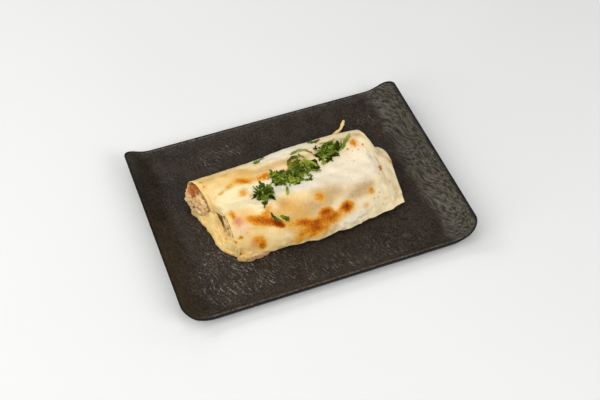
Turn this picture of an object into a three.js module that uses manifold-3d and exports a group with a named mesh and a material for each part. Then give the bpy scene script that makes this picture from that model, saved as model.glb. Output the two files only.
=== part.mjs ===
// Two baked cannelloni side by side under one blanket of cheese, on their slate-look plate.
// Millimetres, +Z up. X runs along the plate and the rolls, and -Y is the front.
// The origin is on the table, under the middle of the plate.

import * as THREE from 'three';
import { mergeVertices } from 'three/addons/utils/BufferGeometryUtils.js';
import Module from 'manifold-3d';

const wasm = await Module();
wasm.setup();

// ---------------------------------------------------------------- driving sizes

const GAP = 0.3; // clearance kept between touching pieces

const PLATE = {
  length: 240,
  width: 176,
  cornerRadius: 11,
  floorTop: 6,
  thickness: 4,
  lipRise: 3,
  lipTopWidth: 3,
  lipWidth: 6.5,
  wingRise: 14,
  wingRun: 23,
  wingPower: 1.8,
  wallLean: 1.7,
  footInset: 25,
  footWidth: 6,
};

const BED = PLATE.floorTop + GAP; // the food lies this high
const PASTA_WALL = 2.2;

// Each value that changes along a roll is a list of [x, value] stations.
const BACK_ROLL = {
  left: -76.5,
  right: 68.9,
  slant: -0.27, // the cut left end leans back by this much for each mm of y
  rightEdge: [[2, 71.2], [12, 69.4], [20, 67.6], [28, 66.1], [36, 65.3]], // as [y, x] stations
  ridgeY: [[-78, 14.6], [20, 17.6], [66, 19]],
  ridgeZ: [[-78, 34.2], [-30, 33.6], [5, 34.6], [45, 34.4], [66, 33.2]],
  frontReach: [[-78, 17.2], [66, 17]],
  backReach: [[-78, 18.6], [-30, 19.4], [5, 22.2], [45, 22.6], [66, 20]],
  waistZ: [[-78, 14], [66, 14]],
  frontPower: [[-78, 1], [66, 1]],
  unevenness: 0.4,
};

const FRONT_ROLL = {
  left: -65.2,
  right: 80,
  slant: -0.06,
  rightEdge: [
    [-46, 76], [-38, 78], [-28, 78.8], [-18, 79], [-8, 80.2], [0, 82], [9, 82],
    [17, 80.6], [24, 76.5],
  ],
  ridgeY: [[-66, -22], [25, -20], [50, -18.5], [66, -13.5], [80, -3.5]],
  ridgeZ: [[-66, 32.6], [0, 32.2], [40, 30.2], [60, 27.9], [71, 24.6], [80, 20.2]],
  frontReach: [
    [-66, 18], [-56, 20.6], [-46, 23.6], [-37, 25.2], [-24, 24.8], [-14, 26.4], [-9, 26],
    [1, 28.6], [11, 27.4], [18, 25.8], [27, 27.1], [37, 25.9], [47, 24.6], [56, 25.4],
    [69, 28.6], [80, 34.2],
  ],
  backReach: [[-66, 18.4], [25, 18], [50, 17.2], [64, 16], [70, 31], [80, 27]],
  waistZ: [[-66, 12.4], [-46, 10], [-20, 9.2], [50, 9.2], [80, 9.4]],
  frontPower: [[-66, 1.05], [-20, 1.3], [40, 1.75], [80, 2.2]],
  unevenness: 0.5,
};

const FILLING = {
  backBulge: 8.5, // how far the meat pushes out of the back roll's left end
  backRightRecess: 1.5, // how far it sits back inside that roll's right end
  frontRecess: 3.5, // how far it sits back inside the front roll's left end
  frontEnd: 64, // the front roll is pressed shut past this x
  backDome: 11,
  frontDome: 8,
  slack: 0.6, // clear of the pasta round it
  lumps: 0.07, // share of the radius that the lumps take
  crags: 0.45, // depth of the lumps on the domed ends
};

const BLANKET = {
  thickness: 1.3,
  valleyZ: 28.8, // cheese pools to this height between the rolls
  valleyBottomZ: 21,
  blend: 3.2,
  inset: 2, // kept back from the rolls' left rims
  backEdge: 9, // how far it laps behind the back roll's ridge
  frontEdge: [[-66, 14], [-40, 17.5], [0, 19.5], [40, 15], [70, 12]], // in front of the ridge
  rightEdge: [[-40, 58], [-10, 71.5], [10, 67.5], [30, 64.5]],
  valleyDroop: 9, // the pool sinks by this much towards the flattened end
};

const OOZE = {
  outline: [
    [-85.5, 16.5], [-80.5, 4], [-77.2, -9], [-75.8, -18], [-75, -24], [-73, -30],
    [-68, -35.5], [-63.5, -39],
  ],
  backX: -70,
  frontX: -62,
  edgeHeight: 3.4,
  mouthHeight: 12.5,
};

const DRIP = { centre: [-50.4, -42.2], radii: [13, 5.8], height: 7 };

const STRAND = {
  points: [
    [40, 41.5, 7.6], [47, 48, 7.5], [54, 51.8, 7.5], [60, 54.8, 7.7], [63.5, 58.5, 8.2],
    [66.5, 62.5, 9],
  ],
  width: 2.6,
  thickness: 1.9,
};

const PARSLEY = {
  thickness: 0.8,
  lift: 1.0, // the leaves' undersides lie this far above what carries them
  padThickness: 0.8,
  padShare: 0.66, // of the heap's spread; leaves stick out past the pad
  heaps: [
    { name: 'parsley_heap_1', centre: [-30, -10], radii: [9.5, 10.5], turn: 0.5, leaves: 9 },
    { name: 'parsley_heap_2', centre: [-11, 0.5], radii: [9, 9], turn: -0.12, leaves: 9 },
    { name: 'parsley_heap_3', centre: [13, 2.5], radii: [12, 9], turn: 0.2, leaves: 10 },
    { name: 'parsley_heap_4', centre: [34, 14], radii: [12, 8], turn: 0.1, leaves: 10 },
  ],
  singles: [
    { name: 'parsley_blade', at: [51.5, 20.5], size: [15, 3.6], turn: 0.82, lobes: 0 },
    { name: 'parsley_back_left', at: [-24, 26], size: [12, 4.2], turn: 0.3, lobes: 2 },
    { name: 'parsley_back_right', at: [26, 30], size: [10, 4], turn: 0.2, lobes: 2 },
    { name: 'parsley_chip_left', at: [-30.5, -30], size: [7.5, 2.2], turn: -0.9, lobes: 0 },
    { name: 'parsley_chip_right', at: [-22.5, -36], size: [6.5, 3], turn: -0.3, lobes: 2 },
  ],
  seed: 5,
};

const COLOURS = {
  plate: { color: 0x2b2826, roughness: 0.62 },
  pasta: { color: 0xe9d3a0, roughness: 0.5 },
  meat: { color: 0xa9836a, roughness: 0.65 },
  cheese: { color: 0xf1e6cf, roughness: 0.42 },
  ooze: { color: 0xe8d6a4, roughness: 0.4 },
  parsley: { color: 0x3f6a1e, roughness: 0.6 },
};

// ---------------------------------------------------------------- small tools

const smoothstep = (low, high, value) => {
  const t = Math.min(1, Math.max(0, (value - low) / (high - low)));
  return t * t * (3 - 2 * t);
};

// Value at x from a list of [x, value] stations, eased from one to the next.
function along(stations, x) {
  const next = stations.findIndex(([stationX]) => stationX > x);
  if (next === 0) return stations[0][1];
  if (next < 0) return stations.at(-1)[1];
  const [[x0, v0], [x1, v1]] = [stations[next - 1], stations[next]];
  return THREE.MathUtils.lerp(v0, v1, 0.5 * (x - x0) / (x1 - x0) + 0.5 * smoothstep(x0, x1, x));
}

// Larger of two heights, with the inner corner between them rounded off.
function roundedMax(a, b, radius) {
  const near = Math.max(radius - Math.abs(a - b), 0) / radius;
  return Math.max(a, b) + near * near * radius / 4;
}

// Slow, even-handed unevenness between -1 and 1.
function waver(x, y, seed = 0) {
  const broad = Math.sin(x * 0.19 + seed) * Math.cos(y * 0.23 + 1.7 * seed);
  const small = Math.sin(x * 0.43 + y * 0.37 + 2.3 * seed);
  return (broad + 0.5 * small) / 1.5;
}

const mulberry = (seed) => () => {
  seed = (seed + 0x6d2b79f5) | 0;
  let t = Math.imul(seed ^ (seed >>> 15), 1 | seed);
  t = (t + Math.imul(t ^ (t >>> 7), 61 | t)) ^ t;
  return ((t ^ (t >>> 14)) >>> 0) / 4294967296;
};

// Moves every point of a closed geometry, after welding it.
function reshape(geometry, place) {
  geometry.deleteAttribute('normal');
  geometry.deleteAttribute('uv');
  const welded = mergeVertices(geometry, 1e-5);
  const position = welded.attributes.position;
  for (let i = 0; i < position.count; i += 1) {
    position.setXYZ(i, ...place(position.getX(i), position.getY(i), position.getZ(i)));
  }
  return welded;
}

function toSolid(geometry) {
  const mesh = new wasm.Mesh({
    numProp: 3,
    vertProperties: new Float32Array(geometry.attributes.position.array),
    triVerts: new Uint32Array(geometry.index.array),
  });
  mesh.merge();
  return new wasm.Manifold(mesh);
}

function toGeometry(solid) {
  const { vertProperties, triVerts } = solid.getMesh();
  const geometry = new THREE.BufferGeometry();
  geometry.setAttribute('position', new THREE.BufferAttribute(new Float32Array(vertProperties), 3));
  geometry.setIndex(new THREE.BufferAttribute(new Uint32Array(triVerts), 1));
  geometry.computeVertexNormals();
  return geometry;
}

// The main body of a cut: loose scraps are dropped and slivers welded away.
function mainBody(solid, tolerance = 0.06) {
  const bodies = solid.simplify(tolerance).decompose();
  return bodies.reduce((a, b) => (a.volume() > b.volume() ? a : b));
}

// ---------------------------------------------------------------- the plate

// Point of the plate's rounded outline, drawn in by `inset`, at turn t from 0 to 1.
function plateOutline(t, inset) {
  const radius = Math.max(PLATE.cornerRadius - inset, 0.5);
  const halfX = PLATE.length / 2 - inset - radius;
  const halfY = PLATE.width / 2 - inset - radius;
  const quarter = Math.floor(t * 4) % 4;
  const part = t * 4 - Math.floor(t * 4);
  const [signX, signY] = [[1, 1], [-1, 1], [-1, -1], [1, -1]][quarter];
  // Each quarter runs half a side, the corner's arc, then half the next side.
  const endSide = quarter % 2 === 0 ? [halfY, halfX] : [halfX, halfY];
  if (part < 0.25) {
    const run = (part / 0.25) * endSide[0];
    return quarter % 2 === 0
      ? [signX * (halfX + radius), signY * run]
      : [signX * run, signY * (halfY + radius)];
  }
  if (part > 0.75) {
    const run = ((1 - part) / 0.25) * endSide[1];
    return quarter % 2 === 0
      ? [signX * run, signY * (halfY + radius)]
      : [signX * (halfX + radius), signY * run];
  }
  const angle = (quarter + (part - 0.25) / 0.5) * Math.PI / 2;
  return [signX * halfX + radius * Math.cos(angle), signY * halfY + radius * Math.sin(angle)];
}

// How far the short ends have swept up at x, from 0 to 1.
function wingShare(x) {
  const start = PLATE.length / 2 - PLATE.wingRun;
  return Math.max(0, (Math.abs(x) - start) / PLATE.wingRun) ** PLATE.wingPower;
}

function makePlate() {
  const { floorTop, thickness, lipRise, lipTopWidth, lipWidth, wallLean } = PLATE;
  const { footInset, footWidth } = PLATE;
  const underside = floorTop - thickness;
  const lipTop = floorTop + lipRise;
  // [inset from the rim, height], from the middle of the underside out and over to the floor.
  const rings = [
    [footInset + footWidth + 1.5, underside], [footInset + footWidth, 0], [footInset, 0],
    [footInset - 1.5, underside], [17, underside], [11, underside + 0.1], [6, underside + 0.6],
    [wallLean + 0.9, underside + 1.5], [wallLean * 0.5, floorTop - 0.8], [0.25, lipTop - 1.3],
    [0, lipTop - 0.7], [0.25, lipTop - 0.2], [0.9, lipTop], [lipTopWidth, lipTop - 0.2],
    [(lipTopWidth + lipWidth) / 2, floorTop + lipRise * 0.42], [lipWidth, floorTop + 0.25],
    [lipWidth + 2.5, floorTop], [13.5, floorTop], [18, floorTop], [23, floorTop],
  ];
  const centre = PLATE.width / 2;
  const profile = [
    new THREE.Vector2(0, underside),
    ...rings.map(([inset, z]) => new THREE.Vector2(centre - inset, z)),
    new THREE.Vector2(0, floorTop),
  ];
  const turns = 60;
  return reshape(new THREE.LatheGeometry(profile, turns), (lx, height, lz) => {
    const reach = Math.hypot(lx, lz);
    if (reach < 1e-6) return [0, 0, height];
    const turn = Math.atan2(-lz, lx) / (2 * Math.PI);
    const [x, y] = plateOutline(((turn % 1) + 1) % 1, centre - reach);
    const share = wingShare(x);
    const isTop = height > underside + 2;
    // On the wings the side lip fades into the swept-up surface.
    const lip = isTop ? Math.max(0, height - floorTop) : 0;
    const settled = height - lip * share;
    return [x, y, settled + PLATE.wingRise * share];
  });
}

// ---------------------------------------------------------------- the rolls

// Shares of a roll's section: a round back, and a front that slumps towards a flat foot.
function rollSection(roll, x, cosine, sine, inward) {
  const ridgeY = along(roll.ridgeY, x);
  const waist = along(roll.waistZ, x);
  const ridgeZ = along(roll.ridgeZ, x) - inward;
  const front = cosine < 0;
  const reach = along(front ? roll.frontReach : roll.backReach, x) - inward;
  const y = ridgeY + reach * cosine;
  if (sine < 0) {
    const bottom = BED + inward;
    return [y, Math.max(bottom, waist + (waist - bottom) * 1.5 * sine)];
  }
  const power = front ? along(roll.frontPower, x) : 1;
  const radius = Math.hypot(cosine, sine);
  const rise = radius * (sine / Math.max(radius, 1e-9)) ** power;
  const rough = roll.unevenness * waver(x, y, roll.left);
  return [y, waist + (ridgeZ - waist + rough) * rise];
}

// Height of a roll's upper skin at a place in plan, or the bed outside it.
function rollTop(roll, x, y) {
  const ridgeY = along(roll.ridgeY, x);
  const front = y < ridgeY;
  const reach = along(front ? roll.frontReach : roll.backReach, x);
  const share = (y - ridgeY) / reach;
  if (Math.abs(share) >= 1) return BED;
  return rollSection(roll, x, share, Math.sqrt(1 - share * share), 0)[1];
}

const rimShift = (roll, y) => roll.slant * (y - along(roll.ridgeY, roll.left));
const endShift = (roll, y) => along(roll.rightEdge, y) - roll.right;

// A roll's outer form, or with a positive `inward` the hollow inside it.
function rollBody(roll, {
  inward = 0, left = roll.left, right = roll.right, around = 26, steps = 28, flared = true,
}) {
  const tube = new THREE.CylinderGeometry(1, 1, 1, around, steps).rotateZ(-Math.PI / 2);
  return reshape(tube, (axial, a, b) => {
    const share = axial + 0.5;
    const x = THREE.MathUtils.lerp(left, right, share);
    const [y, z] = rollSection(roll, x, a, b, inward);
    const flare = flared ? endShift(roll, y) * share ** 3 : 0;
    return [x + rimShift(roll, y) * (1 - share) ** 2 + flare, y, z];
  });
}

// Meat inside a roll: a long body with lumpy domed ends.
function rollFilling(roll, { left, right, dome, inward, flared = false }) {
  const body = new THREE.CapsuleGeometry(1, 2, 5, 18, 10).rotateZ(-Math.PI / 2);
  return reshape(body, (axial, a, b) => {
    const share = THREE.MathUtils.clamp((axial + 1) / 2, 0, 1);
    const beyond = axial - THREE.MathUtils.clamp(axial, -1, 1);
    const x = THREE.MathUtils.lerp(left + dome, right - dome, share) + beyond * dome;
    const shrink = 1 - FILLING.lumps * (0.5 + 0.5 * waver(3 * a + x, 5 * b, 4));
    const [y, z] = rollSection(roll, x, a * shrink, b * shrink, inward);
    const shift = rimShift(roll, y) * (1 - share) ** 2
      + (flared ? endShift(roll, y) * share ** 3 : 0);
    const crags = Math.abs(beyond) * FILLING.crags * waver(5 * y, 3 * z, 2);
    return [x + shift + crags, y, z];
  });
}

// A roll a little larger all over, to cut what touches it so that it stays clear.
const rollClearance = (roll) => toSolid(rollBody(roll, {
  inward: -GAP, left: roll.left - GAP, right: roll.right + GAP,
}));

// A pasta tube, open where `left` and `right` of its hollow run past its own ends.
function rollPasta(roll, hollow, neighbours) {
  const inside = rollBody(roll, { inward: PASTA_WALL, around: 22, steps: 18, ...hollow });
  const tube = toSolid(rollBody(roll, {})).subtract(toSolid(inside));
  return mainBody(neighbours.reduce((solid, other) => solid.subtract(other), tube));
}

// The meat of both rolls; a `grow` above 0 gives the forms that cut their neighbours.
function makeFillings(grow = 0) {
  const inward = PASTA_WALL + FILLING.slack - grow;
  const back = rollFilling(BACK_ROLL, {
    left: BACK_ROLL.left - FILLING.backBulge - grow,
    right: BACK_ROLL.right - FILLING.backRightRecess + grow,
    dome: FILLING.backDome,
    inward,
    flared: true,
  });
  const front = rollFilling(FRONT_ROLL, {
    left: FRONT_ROLL.left + FILLING.frontRecess - grow,
    right: FILLING.frontEnd - FILLING.slack * 2 + grow,
    dome: FILLING.frontDome,
    inward,
  });
  return [back, front];
}

// ---------------------------------------------------------------- cheese

// Height of everything the cheese blanket covers, at a place in plan.
function blanketTop(x, y) {
  const { thickness, valleyZ, blend } = BLANKET;
  const back = rollTop(BACK_ROLL, x, y) + thickness;
  const front = rollTop(FRONT_ROLL, x, y) + thickness;
  const droop = BLANKET.valleyDroop * smoothstep(60, 74, x);
  const inValley = y < along(BACK_ROLL.ridgeY, x) && y > along(FRONT_ROLL.ridgeY, x);
  const pool = inValley ? valleyZ - droop + 0.5 * waver(x, y, 3) : BED;
  return roundedMax(roundedMax(back, front, blend), pool, blend);
}

function makeBlanket(cutters) {
  const sheet = new THREE.BoxGeometry(1, 1, 1, 32, 17, 1);
  const geometry = reshape(sheet, (u, v, w) => {
    const seedX = THREE.MathUtils.lerp(-66, 66, u + 0.5);
    const backY = along(BACK_ROLL.ridgeY, seedX) + BLANKET.backEdge + waver(seedX, 0, 5);
    const frontY = along(FRONT_ROLL.ridgeY, seedX) - along(BLANKET.frontEdge, seedX)
      + 1.2 * waver(1.3 * seedX, 4, 6);
    const y = THREE.MathUtils.lerp(frontY, backY, v + 0.5);
    const rims = [FRONT_ROLL, BACK_ROLL].map((roll) => roll.left + rimShift(roll, y));
    const left = THREE.MathUtils.lerp(rims[0], rims[1], smoothstep(-12, 2, y)) + BLANKET.inset;
    const right = along(BLANKET.rightEdge, y);
    const x = THREE.MathUtils.lerp(left, right, u + 0.5);
    const pooled = smoothstep(-16, -8, y) * (1 - smoothstep(4, 12, y));
    const under = THREE.MathUtils.lerp(rollMiddle(x, y), BLANKET.valleyBottomZ, pooled);
    return [x, y, w > 0 ? blanketTop(x, y) : Math.min(under, blanketTop(x, y) - 1)];
  });
  const cut = cutters.reduce((solid, cutter) => solid.subtract(cutter), toSolid(geometry));
  return mainBody(cut);
}

// A height safely inside the roll under a place in plan.
const rollMiddle = (x, y) => Math.max(
  ...[BACK_ROLL, FRONT_ROLL].map((roll) => rollTop(roll, x, y)),
) - 1.5;

// Cheese and sauce that ran out of the left ends onto the plate.
function makeOoze(cutters) {
  const edge = new THREE.SplineCurve(OOZE.outline.map(([x, y]) => new THREE.Vector2(x, y)));
  const sheet = new THREE.BoxGeometry(1, 1, 1, 9, 20, 1);
  const geometry = reshape(sheet, (u, v, w) => {
    const point = edge.getPoint(0.5 - v);
    const inner = THREE.MathUtils.lerp(OOZE.frontX, OOZE.backX, v + 0.5);
    const share = u + 0.5;
    const x = THREE.MathUtils.lerp(point.x, inner, share);
    const middle = Math.sin(Math.PI * (0.12 + 0.8 * (0.5 - v)));
    const swell = OOZE.edgeHeight + (OOZE.mouthHeight - OOZE.edgeHeight)
      * smoothstep(0.05, 0.8, share) * (0.35 + 0.65 * middle);
    const nose = Math.sqrt(1 - (1 - Math.min(1, share / 0.17)) ** 2);
    const lumps = 0.7 * waver(2.2 * x, 2 * point.y, 8) * smoothstep(0.05, 0.3, share);
    return [x, point.y, w > 0 ? BED + 0.6 + (swell - 0.6) * nose + lumps : BED];
  });
  const cut = cutters.reduce((solid, cutter) => solid.subtract(cutter), toSolid(geometry));
  return mainBody(cut);
}

// A lobe of cheese and juices squeezed out under the front edge, larger all over by `grow`.
function dripLobe(grow = 0) {
  const { centre, radii, height } = DRIP;
  const ball = new THREE.SphereGeometry(1, 20, 10).rotateX(Math.PI / 2);
  const lobe = toSolid(reshape(ball, (a, b, c) => {
    const x = centre[0] + (radii[0] + grow) * a;
    const uneven = 1 + 0.12 * waver(4 * x, 6 * b, 1);
    return [
      x, centre[1] + (radii[1] + grow) * b * uneven, BED + c * (height + grow) * uneven,
    ];
  }));
  const aboveBed = new THREE.BoxGeometry(4 * radii[0], 4 * radii[1], 2 * height)
    .translate(...centre, BED + height - grow);
  return lobe.intersect(toSolid(reshape(aboveBed, (...point) => point)));
}

function makeStrand() {
  const path = new THREE.CatmullRomCurve3(STRAND.points.map((p) => new THREE.Vector3(...p)));
  const section = new THREE.Shape();
  section.absellipse(0, 0, STRAND.thickness / 2, STRAND.width / 2, 0, Math.PI * 2);
  return new THREE.ExtrudeGeometry(section, { steps: 14, curveSegments: 4, extrudePath: path });
}

// ---------------------------------------------------------------- parsley

// Height that a leaf lies on: the cheese blanket where it is, the bare roll elsewhere.
function leafGround(x, y) {
  const behind = y > along(BACK_ROLL.ridgeY, x) + BLANKET.backEdge - 2;
  return behind ? rollTop(BACK_ROLL, x, y) + BLANKET.thickness : blanketTop(x, y);
}

// Outline of one chopped leaf: a torn oval, with notches between its lobes.
function leafOutline(length, width, lobes) {
  const shape = new THREE.Shape();
  const sides = lobes > 0 ? 10 : 8;
  for (let i = 0; i < sides; i += 1) {
    const angle = (i / sides) * 2 * Math.PI;
    const notch = lobes > 0 && i % 2 === 1 ? 0.62 : 1;
    const x = Math.cos(angle) * length / 2 * notch;
    const y = Math.sin(angle) * width / 2 * notch;
    if (i === 0) shape.moveTo(x, y);
    else shape.lineTo(x, y);
  }
  shape.closePath();
  return shape;
}

// A thin wavy leaf draped over the food, tipped up by `tip` mm at one end.
function leafGeometry({ at, size, turn, lobes, tip = 0, lift = PARSLEY.lift }) {
  const [length, width] = size;
  const flat = new THREE.ExtrudeGeometry(leafOutline(length, width, lobes), {
    depth: PARSLEY.thickness, steps: 1, bevelEnabled: false,
  });
  return reshape(flat, (a, b, c) => {
    const x = at[0] + a * Math.cos(turn) - b * Math.sin(turn);
    const y = at[1] + a * Math.sin(turn) + b * Math.cos(turn);
    const curl = 0.35 * (1 + Math.sin(1.9 * a + 3 * b)) + tip * smoothstep(0, length / 2, a);
    return [x, y, leafGround(x, y) + lift + curl + c];
  });
}

// A heap of chopped leaves fused to a thin pad under them.
function makeHeap({ centre, radii, turn, leaves }, random) {
  const spread = ([a, b]) => [
    centre[0] + a * Math.cos(turn) - b * Math.sin(turn),
    centre[1] + a * Math.sin(turn) + b * Math.cos(turn),
  ];
  const disc = new THREE.CylinderGeometry(1, 1, 1, 14, 1).rotateX(Math.PI / 2);
  const pad = toSolid(reshape(disc, (a, b, c) => {
    const uneven = PARSLEY.padShare + 0.1 * waver(9 * a, 9 * b, centre[0]);
    const [x, y] = spread([a * radii[0] * uneven, b * radii[1] * uneven]);
    return [x, y, leafGround(x, y) + PARSLEY.lift * 0.8 + (c + 0.5) * PARSLEY.padThickness];
  }));
  const golden = Math.PI * (3 - Math.sqrt(5));
  let heap = pad;
  for (let i = 0; i < leaves; i += 1) {
    const ring = Math.sqrt((i + 0.5) / leaves) * 0.8;
    const [x, y] = spread([
      radii[0] * ring * Math.cos(i * golden), radii[1] * ring * Math.sin(i * golden),
    ]);
    const leaf = leafGeometry({
      at: [x, y],
      size: [7 + 3.5 * random(), 3.6 + 2 * random()],
      turn: random() * 2 * Math.PI,
      lobes: 2,
      tip: 2.6 * random(),
      lift: PARSLEY.lift * 0.9 + 0.25 * (i % 3),
    });
    heap = heap.add(toSolid(leaf));
  }
  return mainBody(heap);
}

// ---------------------------------------------------------------- assembly

const materials = Object.fromEntries(Object.entries(COLOURS).map(([name, finish]) => (
  [name, new THREE.MeshStandardMaterial({ ...finish, metalness: 0 })]
)));

const group = new THREE.Group();

function addPiece(name, geometry, material) {
  const mesh = new THREE.Mesh(geometry, materials[material]);
  mesh.name = name;
  group.add(mesh);
}

const rollCutters = [BACK_ROLL, FRONT_ROLL].map(rollClearance);
const backPasta = rollPasta(
  BACK_ROLL,
  { left: BACK_ROLL.left - 4, right: BACK_ROLL.right + 4 },
  [],
);
const frontPasta = rollPasta(
  FRONT_ROLL,
  { left: FRONT_ROLL.left - 4, right: FILLING.frontEnd, flared: false },
  [rollCutters[0]],
);
const [backMeat, frontMeat] = makeFillings();
const ooze = makeOoze([...rollCutters, ...makeFillings(GAP).map(toSolid), dripLobe(GAP)]);
const drip = mainBody(rollCutters.reduce((solid, cutter) => solid.subtract(cutter), dripLobe()));

addPiece('plate', makePlate(), 'plate');
addPiece('back_roll_pasta', toGeometry(backPasta), 'pasta');
addPiece('back_roll_filling', backMeat, 'meat');
addPiece('front_roll_pasta', toGeometry(frontPasta), 'pasta');
addPiece('front_roll_filling', frontMeat, 'meat');
addPiece('cheese_blanket', toGeometry(makeBlanket(rollCutters)), 'cheese');
addPiece('cheese_ooze', toGeometry(ooze), 'ooze');
addPiece('cheese_drip', toGeometry(drip), 'ooze');
addPiece('cheese_strand', makeStrand(), 'cheese');

const random = mulberry(PARSLEY.seed);
for (const heap of PARSLEY.heaps) {
  addPiece(heap.name, toGeometry(makeHeap(heap, random)), 'parsley');
}
for (const single of PARSLEY.singles) {
  addPiece(single.name, leafGeometry(single), 'parsley');
}

export default group;
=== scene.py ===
"""Two baked cannelloni under browned melted cheese, on a slate-look melamine plate.

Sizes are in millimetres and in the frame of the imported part: X runs along the rolls, -Y is the front,
+Z is up, and the origin is on the table under the middle of the plate.
"""

import logging
import math
import random
from bisect import bisect_right
from dataclasses import dataclass
from enum import Enum
from functools import lru_cache
from typing import Any, Sequence

import bmesh
import bpy
from bmesh.types import BMEdge, BMesh, BMVert
from mathutils import Matrix, Vector, noise

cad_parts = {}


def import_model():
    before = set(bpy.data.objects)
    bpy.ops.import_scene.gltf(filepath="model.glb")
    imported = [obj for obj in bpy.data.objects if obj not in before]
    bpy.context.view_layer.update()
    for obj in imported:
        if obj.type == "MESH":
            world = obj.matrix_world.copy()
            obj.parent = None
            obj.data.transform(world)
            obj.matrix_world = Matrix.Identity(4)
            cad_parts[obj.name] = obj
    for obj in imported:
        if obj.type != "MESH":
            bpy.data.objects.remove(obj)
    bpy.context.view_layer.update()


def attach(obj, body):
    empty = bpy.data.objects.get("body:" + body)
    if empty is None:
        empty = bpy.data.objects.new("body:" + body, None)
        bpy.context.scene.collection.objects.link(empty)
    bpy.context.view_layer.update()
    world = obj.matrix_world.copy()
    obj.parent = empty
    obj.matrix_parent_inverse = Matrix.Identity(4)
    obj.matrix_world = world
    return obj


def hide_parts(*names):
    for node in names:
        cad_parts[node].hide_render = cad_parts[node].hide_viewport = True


log = logging.getLogger("cannelloni")

MM = 0.001
TURN = 2.0 * math.pi
BED = 6.3  # the food lies this high above the table
SUNK = 0.25  # what lies on the plate reaches this far under the bed
PASTA_WALL = 2.2
RIM_WALL = 1.2  # the pasta dried thinner at its cut rims
UP = Vector((0.0, 0.0, 1.0))


# ------------------------------------------------------------------ numbers and noise


def smoothstep(low: float, high: float, value: float) -> float:
    """Returns 0 at low, 1 at high and eased values between."""
    t = min(1.0, max(0.0, (value - low) / (high - low)))
    return t * t * (3.0 - 2.0 * t)


def lerp(a: float, b: float, share: float) -> float:
    """Returns the value `share` of the way from a to b."""
    return a + (b - a) * share


def rounded(share: float) -> float:
    """Returns the height of a quarter circle at a share of its width, from 0 to 1."""
    return math.sqrt(1.0 - (1.0 - min(1.0, share)) ** 2)


def rounded_max(a: float, b: float, radius: float) -> float:
    """Returns the larger of two heights, with a fillet in the corner between them."""
    near = max(radius - abs(a - b), 0.0) / radius
    return max(a, b) + near * near * radius / 4.0


def waver(x: float, y: float, seed: float = 0.0) -> float:
    """Slow unevenness of soft food.

    Args:
        x: Place along the roll in mm.
        y: Place across the roll in mm.
        seed: Shifts the pattern.

    Returns:
        Value between -1 and 1.
    """
    broad = math.sin(x * 0.19 + seed) * math.cos(y * 0.23 + 1.7 * seed)
    small = math.sin(x * 0.43 + y * 0.37 + 2.3 * seed)
    return (broad + 0.5 * small) / 1.5


def grain(place: Vector, size: float, octaves: int = 3, seed: float = 0.0) -> float:
    """Returns fractal noise from about -1 to 1, whose largest features are `size` mm wide."""
    shift = Vector((7.31 * seed, -3.17 * seed, 1.93 * seed))
    return noise.fractal(place / size + shift, 1.0, 2.0, octaves)


def lumps(place: Vector, size: float, seed: float = 0.0) -> tuple[float, float]:
    """Returns how far a place is from its crumb's middle, in crumbs, and a random value of the crumb."""
    distances, points = noise.voronoi(place / size + Vector((seed, 2.3 * seed, -seed)))
    return distances[0], 0.5 + 0.5 * noise.cell(points[0] * 9.7)


@dataclass(frozen=True)
class Stations:
    """A value that changes along a line, eased from one station to the next."""

    points: tuple[tuple[float, float], ...]

    def at(self, x: float) -> float:
        """Eases from one station to the next.

        Args:
            x: Place along the rolls.

        Returns:
            The value at x.
        """
        index = bisect_right(self.points, (x, math.inf))
        if index == 0:
            return self.points[0][1]
        if index == len(self.points):
            return self.points[-1][1]
        (x0, v0), (x1, v1) = self.points[index - 1], self.points[index]
        share = (x - x0) / (x1 - x0)
        return lerp(v0, v1, 0.5 * share + 0.5 * smoothstep(0.0, 1.0, share))


def curve_point(points: Sequence[Vector], t: float) -> Vector:
    """Point on a smooth curve through the given points.

    Args:
        points: Points that the curve passes through.
        t: Place along the curve from 0 to 1.

    Returns:
        The point at t.
    """
    span = max(0.0, min(1.0, t)) * (len(points) - 1)
    index = min(int(span), len(points) - 2)
    s = span - index
    p0, p1 = points[max(index - 1, 0)], points[index]
    p2, p3 = points[index + 1], points[min(index + 2, len(points) - 1)]
    return 0.5 * (
        2.0 * p1 + (p2 - p0) * s
        + (2.0 * p0 - 5.0 * p1 + 4.0 * p2 - p3) * s * s
        + (3.0 * p1 - p0 - 3.0 * p2 + p3) * s * s * s
    )


# ------------------------------------------------------------------ form of the two rolls


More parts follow.
